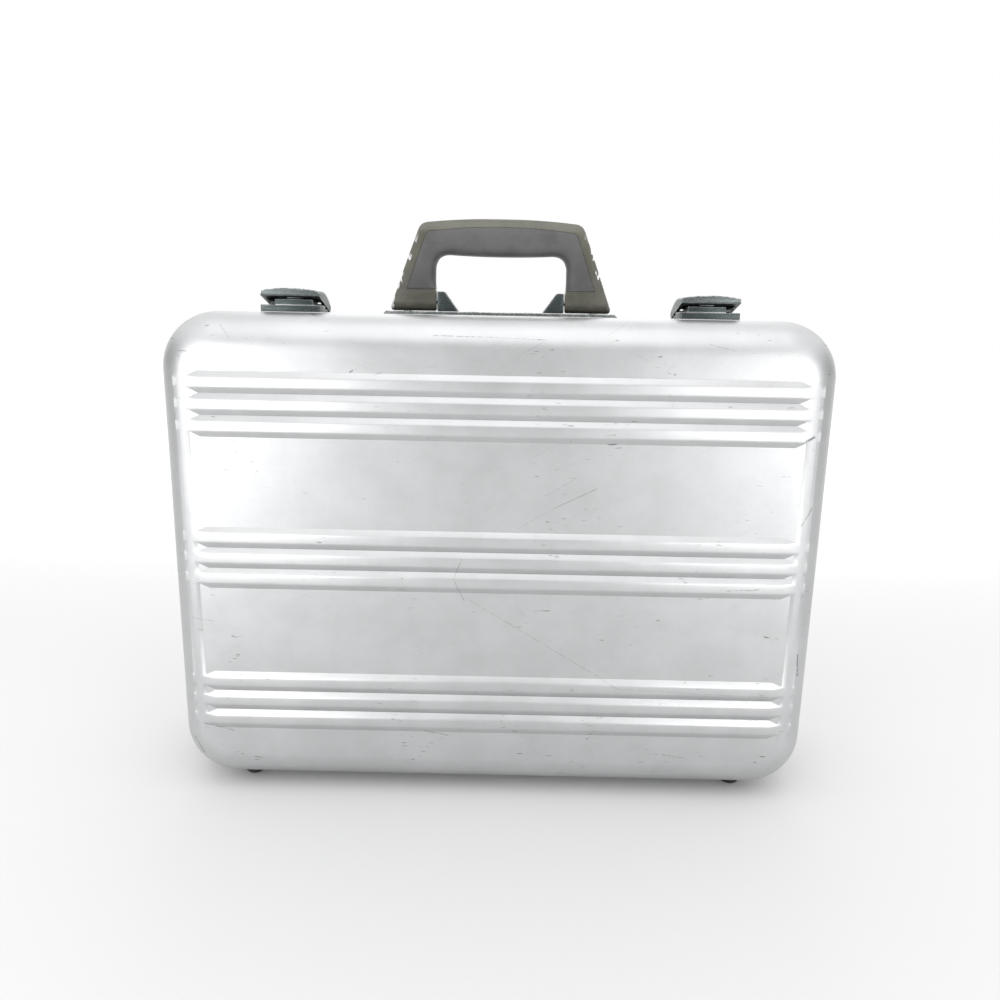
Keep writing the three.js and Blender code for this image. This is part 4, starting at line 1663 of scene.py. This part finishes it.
@dataclass
class Latches:
    """Both latches: a keeper on the lid, and a base, a hooded lever and a key barrel on the body."""

    look: Palette
    inboard: float = 0.1228
    outboard: float = 0.1630
    front: float = -0.0333
    pin: Point = (0.0006, 0.0035)
    pin_r: float = 0.0013
    bore_r: float = 0.0016
    wall: float = 0.0024
    gap: float = 0.0003
    plate_h: float = 0.0049
    block_h: float = 0.0088
    under: float = 0.0110
    barrel_y: float = -0.018
    barrel_r: float = 0.0042

    @property
    def middle(self) -> float:
        """The middle of a latch in X."""
        return (self.inboard + self.outboard) / 2

    def build(self) -> list[Piece]:
        """Model both latches.

        Returns:
            The finished pieces.
        """
        parts = {
            "keeper": (self.keeper(), self.look.zinc, "die_cast_zinc", "lid", "latch_keeper"),
            "base": (self.base(), self.look.zinc, "die_cast_zinc", "body", "latch_base"),
            "lever": (self.lever(), self.look.lever_zinc, "die_cast_zinc", "latch", "latch_lever"),
            "barrel": (self.barrel(), self.look.brass, "steel_fittings", "lock", "lock_barrel"),
            "pin": (self.lever_pin(), self.look.steel, "steel_fittings", "body", "lever_pin"),
        }
        made = []
        for key, (right, material, slot, body, node) in parts.items():
            rename(right, f"latch_{key}_right")
            left = mirrored(right, f"latch_{key}_left")
            for side, piece in (("right", right), ("left", left)):
                rides = f"{body}_{side}" if body in ("latch", "lock") else body
                made.append(dress(piece, material, slot, rides, f"{node}_{side}"))
        return made

    def up(self, points: Sequence[Point], dx: float = 0.0) -> list[Point]:
        """Lift points drawn over the top wall into the frame."""
        return [(a + dx, b + TOP) for a, b in points]

    def keeper(self) -> Piece:
        """The lid's foot plate with a raised catch block and its slot.

        Returns:
            The right-hand keeper.
        """
        back = PARTING_Y - 0.0006
        half = (self.outboard - self.inboard) / 2
        plate = rounded_rect(half, self.front, back, 0.0007, 3, self.middle)
        base = prism("keeper", Plane.XY, plate, TOP + self.gap, TOP + self.plate_h, 0.0004)
        near, far = self.front + 0.0026, back - 0.0004
        raised = rounded_rect(half - 0.007, near, far, 0.0006, 3, self.middle - 0.002)
        combine(base, prism("raised", Plane.XY, raised, TOP + 0.003, TOP + self.block_h, 0.0004), "UNION")
        low = (self.middle - 0.009, self.front + 0.0044, TOP + 0.0066)
        high = (self.middle + 0.005, self.front + 0.010, TOP + 0.0098)
        combine(base, block("slot", low, high), "DIFFERENCE")
        return smooth(base, 35)

    def base(self) -> Piece:
        """The body's plate with a rounded boss for the lever's pin.

        Returns:
            The right-hand base.
        """
        front = PARTING_Y + 0.0006
        y, z = self.pin
        low = (self.inboard + 0.0004, front, TOP + self.gap)
        plate = block("base", low, (self.outboard - 0.0004, y - 0.0056, TOP + 0.0023), 0.0004)
        points = [(front, self.gap), (y - 0.001, self.gap)] + arc((y, z), 0.0029, -90, 90, 14)
        points.append((front, self.plate_h))
        low_x, high_x = self.inboard + self.wall + 0.0005, self.outboard - self.wall - 0.0005
        boss = prism("boss", Plane.YZ, self.up(points), low_x, high_x, 0.0003)
        combine(plate, boss, "UNION")
        bore = rod("bore", "x", self.bore_r, 0.05, (self.middle, y, TOP + z), 20)
        return smooth(combine(plate, bore, "DIFFERENCE"), 35)

    def hood_side(self) -> list[Point]:
        """The lever's side in Y and Z: lip, long fall and eye.

        Returns:
            The points, over the top wall.
        """
        y, z = self.pin
        front, under = self.front, self.under
        points = [(front, under + 0.001), (front + 0.0006, under), (y - 0.0022, z - 0.0018)]
        points += arc((y, z), 0.003, 219, 377, 16)
        points += curve(points[-1], (0.0016, 0.0064), (-0.003, 0.0088), 5)
        points += curve(points[-1], (-0.012, 0.0132), (-0.022, 0.0154), 7)
        points += curve(points[-1], (-0.028, 0.0166), (front + 0.001, 0.0166), 6)
        return points + curve(points[-1], (front, 0.0166), (front, 0.0156), 3)

    def hood_front(self) -> list[Point]:
        """The lever's front in X and Z: a crowned top with rounded shoulders.

        Returns:
            The points, over the top wall.
        """
        a, b = self.inboard, self.outboard
        points = [(b - 0.0006, 0.0), (b, 0.0126)]
        points += curve(points[-1], (b, 0.0142), (b - 0.0013, 0.0145), 6)
        points += curve(points[-1], (self.middle, 0.0177), (a + 0.0014, 0.0145), 18)
        points += curve(points[-1], (a, 0.0143), (a, 0.0126), 6)
        return points + [(a, 0.0)]

    def lever(self) -> Piece:
        """The hooded lever: crowned top, cheeks, lip, key barrel boss and tooth.

        Returns:
            The right-hand lever.
        """
        a, b, y, z = self.inboard, self.outboard, *self.pin
        hood = prism("lever", Plane.YZ, self.up(self.hood_side()), a, b)
        across = prism("across", Plane.XZ, self.up(self.hood_front()), self.front - 0.001, 0.008)
        combine(hood, across, "INTERSECT")
        soften(hood, 0.0008, 4, 35)
        front = self.front
        hollow = [
            (front + 0.005, -0.001), (front + 0.005, 0.0111), (-0.024, 0.0124), (-0.014, 0.0106),
            (-0.006, 0.0074), (0.0, 0.007), (0.008, 0.007), (0.008, -0.001),
        ]
        room = prism("hollow", Plane.YZ, self.up(hollow), a + self.wall, b - self.wall)
        combine(hood, room, "DIFFERENCE")
        bore = rod("bore", "x", self.bore_r, b - a + 0.002, (self.middle, y, TOP + z), 20)
        combine(hood, bore, "DIFFERENCE")
        boss = rod("boss", "z", 0.0058, 0.0034, (self.middle, self.barrel_y, TOP + 0.0113), 28)
        tooth_low = (self.middle - 0.007, front + 0.0044, TOP + 0.0093)
        tooth = block("tooth", tooth_low, (self.middle + 0.003, front + 0.0084, TOP + 0.0122), 0.0003)
        combine(hood, boss, "UNION")
        combine(hood, tooth, "UNION")
        at = (self.middle, self.barrel_y, TOP + 0.012)
        combine(hood, rod("bore", "z", self.barrel_r + self.gap, 0.03, at, 32), "DIFFERENCE")
        return smooth(hood, 32)

    def barrel(self) -> Piece:
        """The key barrel with a keyway.

        Returns:
            The right-hand barrel.
        """
        at = (self.middle, self.barrel_y)
        barrel = rod("barrel", "z", self.barrel_r, 0.0054, (*at, TOP + 0.0123), 36, 0.0005)
        low = (at[0] - 0.0026, at[1] - 0.0004, TOP + 0.0126)
        combine(barrel, block("keyway", low, (at[0] + 0.0026, at[1] + 0.0004, TOP + 0.016)), "DIFFERENCE")
        return smooth(barrel, 35)

    def lever_pin(self) -> Piece:
        """The pin through the cheeks and the boss.

        Returns:
            The right-hand pin.
        """
        y, z = self.pin
        length = self.outboard - self.inboard - 0.0008
        return smooth(rod("pin", "x", self.pin_r, length, (self.middle, y, TOP + z), 20, 0.0003), 35)


@dataclass
class Feet:
    """Four turned rubber feet, each with a small round recess in its sole."""

    look: Palette
    x: float = 0.183
    inset: float = 0.030

    def build(self) -> list[Piece]:
        """Model the feet.

        Returns:
            The finished pieces.
        """
        made = []
        profile = [(0.0, 0.0012), (0.0022, 0.0012), (0.0022, 0.0), (0.0046, 0.0)]
        profile += curve(profile[-1], (0.0064, 0.0003), (0.0075, 0.0026), 5)
        profile += curve(profile[-1], (0.0080, 0.0040), (0.0080, 0.0058), 4)
        profile += [(0.0080, 0.0077), (0.0, 0.0077)]
        for half in Half:
            y = half.value * (PANEL_Y - self.inset)
            foot = turned(f"foot_turned_{half.label}_right", profile, (self.x, y, 0.0), "z", 40)
            smooth(foot, 40)
            left = mirrored(foot, f"foot_turned_{half.label}_left")
            for side, piece in (("right", foot), ("left", left)):
                node = f"foot_{half.label}_{side}"
                made.append(dress(piece, self.look.rubber, "foot_rubber", half.label, node))
        return made


@dataclass
class Interior:
    """Cloth linings, the lid's file pocket with a flap, and the card pocket."""

    look: Palette
    thick: float = 0.002
    inset: float = 0.0051
    edge_r: float = 0.014
    gap: float = 0.0006
    lift: float = 0.005
    pocket_half: float = 0.188
    pocket_rise: Point = (0.034, 0.262)
    pocket_t: float = 0.0055
    card_t: float = 0.0040
    flap_t: float = 0.0022
    stitch_pitch: float = 0.004
    stitch_size: Point = (0.0026, 0.00035)

    def build(self) -> list[Piece]:
        """Model the inside.

        Returns:
            The finished pieces.
        """
        made = []
        for half, depth in ((Half.BODY, 0.055), (Half.LID, 0.028)):
            pan = self.lining(half, depth)
            made.append(dress(pan, self.look.cloth, "lining_cloth", half.label, f"{half.label}_lining"))
            made.append(self.piping(half, depth))
        made += self.pockets()
        return made

    def lining(self, half: Half, depth: float) -> Piece:
        """One lining pan, cloth over board.

        Args:
            half: Which half it lines.
            depth: How far it rises from the floor of that half.

        Returns:
            The pan.
        """
        sign = half.value
        floor = sign * (PANEL_Y - SKIN - self.gap)
        rim = floor - sign * depth
        outer = rounded_pan("lining", self.inset, floor, rim, self.edge_r, (12, 8))
        inner = rounded_pan(
            "hollow", self.inset + self.thick, floor - sign * self.thick, rim - sign * 0.02,
            self.edge_r - self.thick, (12, 8),
        )
        combine(outer, inner, "DIFFERENCE")
        return rename(smooth(outward(outer), 35), f"{half.label}_lining_pan")

    def piping(self, half: Half, depth: float) -> Piece:
        """A sewn edge along the lining's rim.

        Args:
            half: Which half it lines.
            depth: How far the lining rises.

        Returns:
            The piping.
        """
        sign = half.value
        rim = sign * (PANEL_Y - SKIN - self.gap) - sign * depth
        inset = self.inset + self.thick / 2
        near, far = rim - sign * 0.0012, rim + sign * 0.0012
        ring = prism("piping", Plane.XZ, case_outline(inset - 0.0011), near, far)
        hole = prism("hole", Plane.XZ, case_outline(inset + 0.0011), rim - 0.01, rim + 0.01)
        combine(ring, hole, "DIFFERENCE")
        soften(ring, 0.0009, 3)
        ring = rename(smooth(ring, 60), f"{half.label}_lining_piping")
        return dress(ring, self.look.leather, "pocket_leather", half.label)

    def pockets(self) -> list[Piece]:
        """The file pocket, its flap and snap, the card pocket and their stitching.

        Returns:
            The finished pieces.
        """
        back = -PANEL_Y + SKIN + self.gap + self.lift + self.thick
        front = back + self.pocket_t
        low, high = (FOOT_H + z for z in self.pocket_rise)
        outline = rounded_rect(self.pocket_half, low, high, 0.014)
        pocket = prism("file_pocket_board", Plane.XZ, outline, back, front)
        soften(pocket, 0.0016, 3)
        made = [dress(smooth(pocket), self.look.leather, "pocket_leather", "lid", "file_pocket")]
        outline = rounded_rect(0.070, low + 0.040, low + 0.150, 0.008, 6, -0.092)
        card = prism("card_pocket_board", Plane.XZ, outline, front + 0.0004, front + self.card_t)
        soften(card, 0.0011, 3)
        made.append(dress(smooth(card), self.look.leather, "pocket_leather", "lid", "card_pocket"))
        outline = rounded_rect(self.pocket_half - 0.004, high - 0.052, high - 0.004, 0.008)
        flap = prism("file_pocket_flap", Plane.XZ, outline, front + 0.0003, front + self.flap_t)
        soften(flap, 0.0007, 2)
        made.append(dress(smooth(flap), self.look.leather, "pocket_leather", "lid"))
        profile = [(0.0, 0.0), (0.0065, 0.0), (0.0062, 0.0009), (0.0035, 0.0015), (0.0, 0.0016)]
        snap = turned("flap_snap", profile, (0.0, front + self.flap_t, high - 0.042), "y", 28)
        made.append(dress(smooth(snap), self.look.steel, "steel_fittings", "lid"))
        seam = self.stitches("pocket_stitches", [
            ((-0.182, high - 0.048), (0.182, high - 0.048), front + self.flap_t),
            ((-0.155, low + 0.144), (-0.029, low + 0.144), front + self.card_t),
            ((-0.156, low + 0.046), (-0.028, low + 0.046), front + self.card_t),
            ((-0.180, low + 0.006), (0.180, low + 0.006), front),
        ])
        made.append(dress(seam, self.look.thread, "pocket_leather", "lid"))
        return made

    def stitches(self, name: str, rows: Sequence[tuple[Point, Point, float]]) -> Piece:
        """Rows of short stitches.

        Args:
            name: The new object's name.
            rows: Both ends of each row in X and Z, and the face that it lies on.

        Returns:
            All the stitches as one object.
        """
        made = []
        (long, half), pitch = self.stitch_size, self.stitch_pitch
        for (x0, z), (x1, _), face in rows:
            one = block("stitch", (x0, face - 0.0001, z - half), (x0 + long, face + 0.0004, z + half))
            made.append(modify(
                one, "ARRAY", use_relative_offset=False, use_constant_offset=True,
                constant_offset_displace=(pitch, 0.0, 0.0), count=int(abs(x1 - x0) / pitch),
            ))
        return fuse(name, made)


@dataclass
class CarriedParts:
    """Frame nodes that are shown as they are, with the steel material."""

    look: Palette
    steel: tuple[str, ...] = (
        "hinge_leaf_body", "hinge_leaf_lid", "hinge_pin", "stay_bracket_body", "stay_bracket_lid",
        "stay_link_body", "stay_link_lid", "stay_elbow_rivet", "lever_spring",
    )

    def build(self) -> list[Piece]:
        """Dress the nodes.

        Returns:
            The nodes.
        """
        made = []
        for stem in self.steel:
            for side in ("left", "right"):
                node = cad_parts[f"{stem}_{side}"]
                node.data.materials.clear()
                node.data.materials.append(self.look.steel)
                made.append(node)
        return made


@dataclass
class HingeScrews:
    """Countersunk screws in the hinge leaves under the case."""

    look: Palette
    x: float = 0.118
    row: tuple[float, ...] = (-0.019, 0.0, 0.019)
    reach: float = 0.0145
    sunk: float = 0.0018
    profile: tuple[Point, ...] = ((0.0, 0.0), (0.0022, 0.0), (0.0026, 0.0006), (0.0, 0.0006))

    def build(self) -> list[Piece]:
        """Model the screws.

        Returns:
            The finished pieces.
        """
        made = []
        for half in Half:
            heads = []
            for side in (-1, 1):
                for dx in self.row:
                    z = FOOT_H - self.sunk - self.profile[-1][1]
                    at = (side * self.x + dx, PARTING_Y + half.value * self.reach, z)
                    heads.append(turned("hinge_screw", self.profile, at, "z", 16))
            piece = smooth(fuse(f"{half.label}_hinge_screws", heads))
            made.append(dress(piece, self.look.steel, "steel_fittings", half.label))
        return made


# ---- Stage ------------------------------------------------------------------------------------------------


@dataclass
class Studio:
    """Pale floor, soft lights and the camera."""

    lens: float = 29.406
    eye: tuple[float, float, float] = (0.00609, -0.6027, 0.34744)
    yaw: float = -0.00641
    pitch: float = 0.22208
    roll: float = 0.018516
    floor_size: float = 12.0
    lights: tuple[tuple, ...] = (
        ("key_above", (0.0, -0.75, 1.55), (0.0, -0.05, 0.25), 1.5, 4.6),
        ("soft_left", (-0.62, -0.82, 0.22), (-0.15, 0.0, 0.16), 0.42, 2.2),
        ("soft_right", (0.62, -0.82, 0.22), (0.15, 0.0, 0.16), 0.42, 1.6),
        ("back_fill", (0.0, 1.7, 1.3), (0.0, 0.0, 0.2), 1.6, 5.0),
    )

    def build(self) -> list[Piece]:
        """Set up the stage.

        Returns:
            The stage's objects.
        """
        made = [self.floor(), self.camera(), *(self.light(*values) for values in self.lights)]
        self.world()
        return made

    def floor(self) -> Piece:
        """A wide pale floor, its colour painted darker in front of the case and lighter behind it: painted
        shade and light.

        Returns:
            The floor.
        """
        activate_none()
        bpy.ops.mesh.primitive_plane_add(size=self.floor_size, location=(0, 0, 0))
        floor = settle(rename(bpy.context.object, "studio_floor"))
        material = bpy.data.materials.new("studio_floor_paper")
        material.use_nodes = True
        tree = material.node_tree
        shader = tree.nodes["Principled BSDF"]
        shader.inputs["Roughness"].default_value = 0.9
        place = add_node(tree, "TexCoord").outputs["Object"]
        paper = noise(tree, place, 900.0, 3.0)
        colour = blend_color(tree, paper, (0.62, 0.62, 0.62, 1.0), (0.66, 0.66, 0.66, 1.0))
        # Painted light and shade: the floor's colour is darker in front of the case and lighter behind it.
        painted_far_light = ramp(tree, add_node(tree, "SeparateXYZ", {"Vector": place}).outputs["Y"], 0.15, 1.3)
        colour = blend_color(tree, painted_far_light, colour, (0.88, 0.88, 0.88, 1.0))
        tree.links.new(colour, shader.inputs["Base Color"])
        floor.data.materials.append(material)
        return floor

    def light(
        self, name: str, at: Sequence[float], target: Sequence[float], size: float, power: float
    ) -> Piece:
        """A square area light aimed at a point.

        Args:
            name: The light's name.
            at: Where it stands.
            target: The point that it is aimed at.
            size: Its side, in metres.
            power: Its power, in watts.

        Returns:
            The light.
        """
        activate_none()
        bpy.ops.object.light_add(type="AREA", location=at)
        lamp = bpy.context.object
        lamp.name = name
        lamp.data.name = name
        lamp.data.shape = "SQUARE"
        lamp.data.size = size
        lamp.data.energy = power
        lamp.rotation_euler = (Vector(target) - Vector(at)).to_track_quat("-Z", "Y").to_euler()
        return lamp

    def camera(self) -> Piece:
        """The camera, level with the top of the case and turned a little.

        Returns:
            The camera.
        """
        activate_none()
        bpy.ops.object.camera_add(location=self.eye)
        camera = bpy.context.object
        camera.name = "studio_camera"
        camera.data.sensor_width = 36.0
        camera.data.lens = self.lens
        camera.data.clip_start = 0.01
        camera.data.dof.use_dof = False
        cy, sy, cp, sp = math.cos(self.yaw), math.sin(self.yaw), math.cos(self.pitch), math.sin(self.pitch)
        cr, sr = math.cos(self.roll), math.sin(self.roll)
        right = Vector((cy, -sy, 0.0))
        ahead = Vector((sy * cp, cy * cp, -sp))
        above = right.cross(ahead)
        across, upright = right * cr + above * sr, above * cr - right * sr
        turn = Matrix((across, upright, -ahead)).transposed()
        camera.matrix_world = Matrix.Translation(self.eye) @ turn.to_4x4()
        bpy.context.scene.camera = camera
        return camera

    def world(self) -> None:
        """A white surround, dimmer in front of the case than beside and behind it."""
        world = bpy.data.worlds.new("studio_world")
        world.use_nodes = True
        tree = world.node_tree
        facing = add_node(tree, "TexCoord").outputs["Generated"]
        parts = add_node(tree, "SeparateXYZ", {"Vector": facing}).outputs
        across = maths(tree, "ABSOLUTE", parts["X"])
        front = ramp(tree, across, 0.08, 0.42, 0.25, 1.5)
        front = maths(tree, "MULTIPLY", front, ramp(tree, across, 0.70, 0.90, 1.0, 0.35))
        behind = ramp(tree, parts["Y"], 0.30, 0.60)
        above = ramp(tree, parts["Z"], 0.25, 0.60)
        rest = maths(tree, "SUBTRACT", 1.0, front)
        level = maths(tree, "ADD", front, maths(tree, "MULTIPLY", behind, rest))
        gain = maths(tree, "SUBTRACT", 1.35, level)
        strength = maths(tree, "ADD", level, maths(tree, "MULTIPLY", above, gain))
        background = tree.nodes["Background"]
        background.inputs["Color"].default_value = (1.0, 1.0, 1.0, 1.0)
        tree.links.new(strength, background.inputs["Strength"])
        bpy.context.scene.world = world
        bpy.context.scene.view_settings.view_transform = "Standard"


def main() -> None:
    """Build every sub-assembly in order and report each piece."""
    logging.basicConfig(level=logging.INFO, format="%(name)s: %(message)s")
    look = Palette.make(ShaderKit.make())
    assemblies = [
        DrawnShell(Half.LID, look),
        DrawnShell(Half.BODY, look),
        FrameRing(Half.LID, look),
        FrameRing(Half.BODY, look),
        Interior(look),
        Handle(look),
        Latches(look),
        Feet(look),
        HingeScrews(look),
        CarriedParts(look),
        Studio(),
    ]
    for assembly in assemblies:
        for piece in assembly.build():
            count = len(piece.data.polygons) if piece.type == "MESH" else 0
            LOG.info("%s: %s, %d faces", type(assembly).__name__, piece.name, count)


if __name__ == "__main__":
    main()
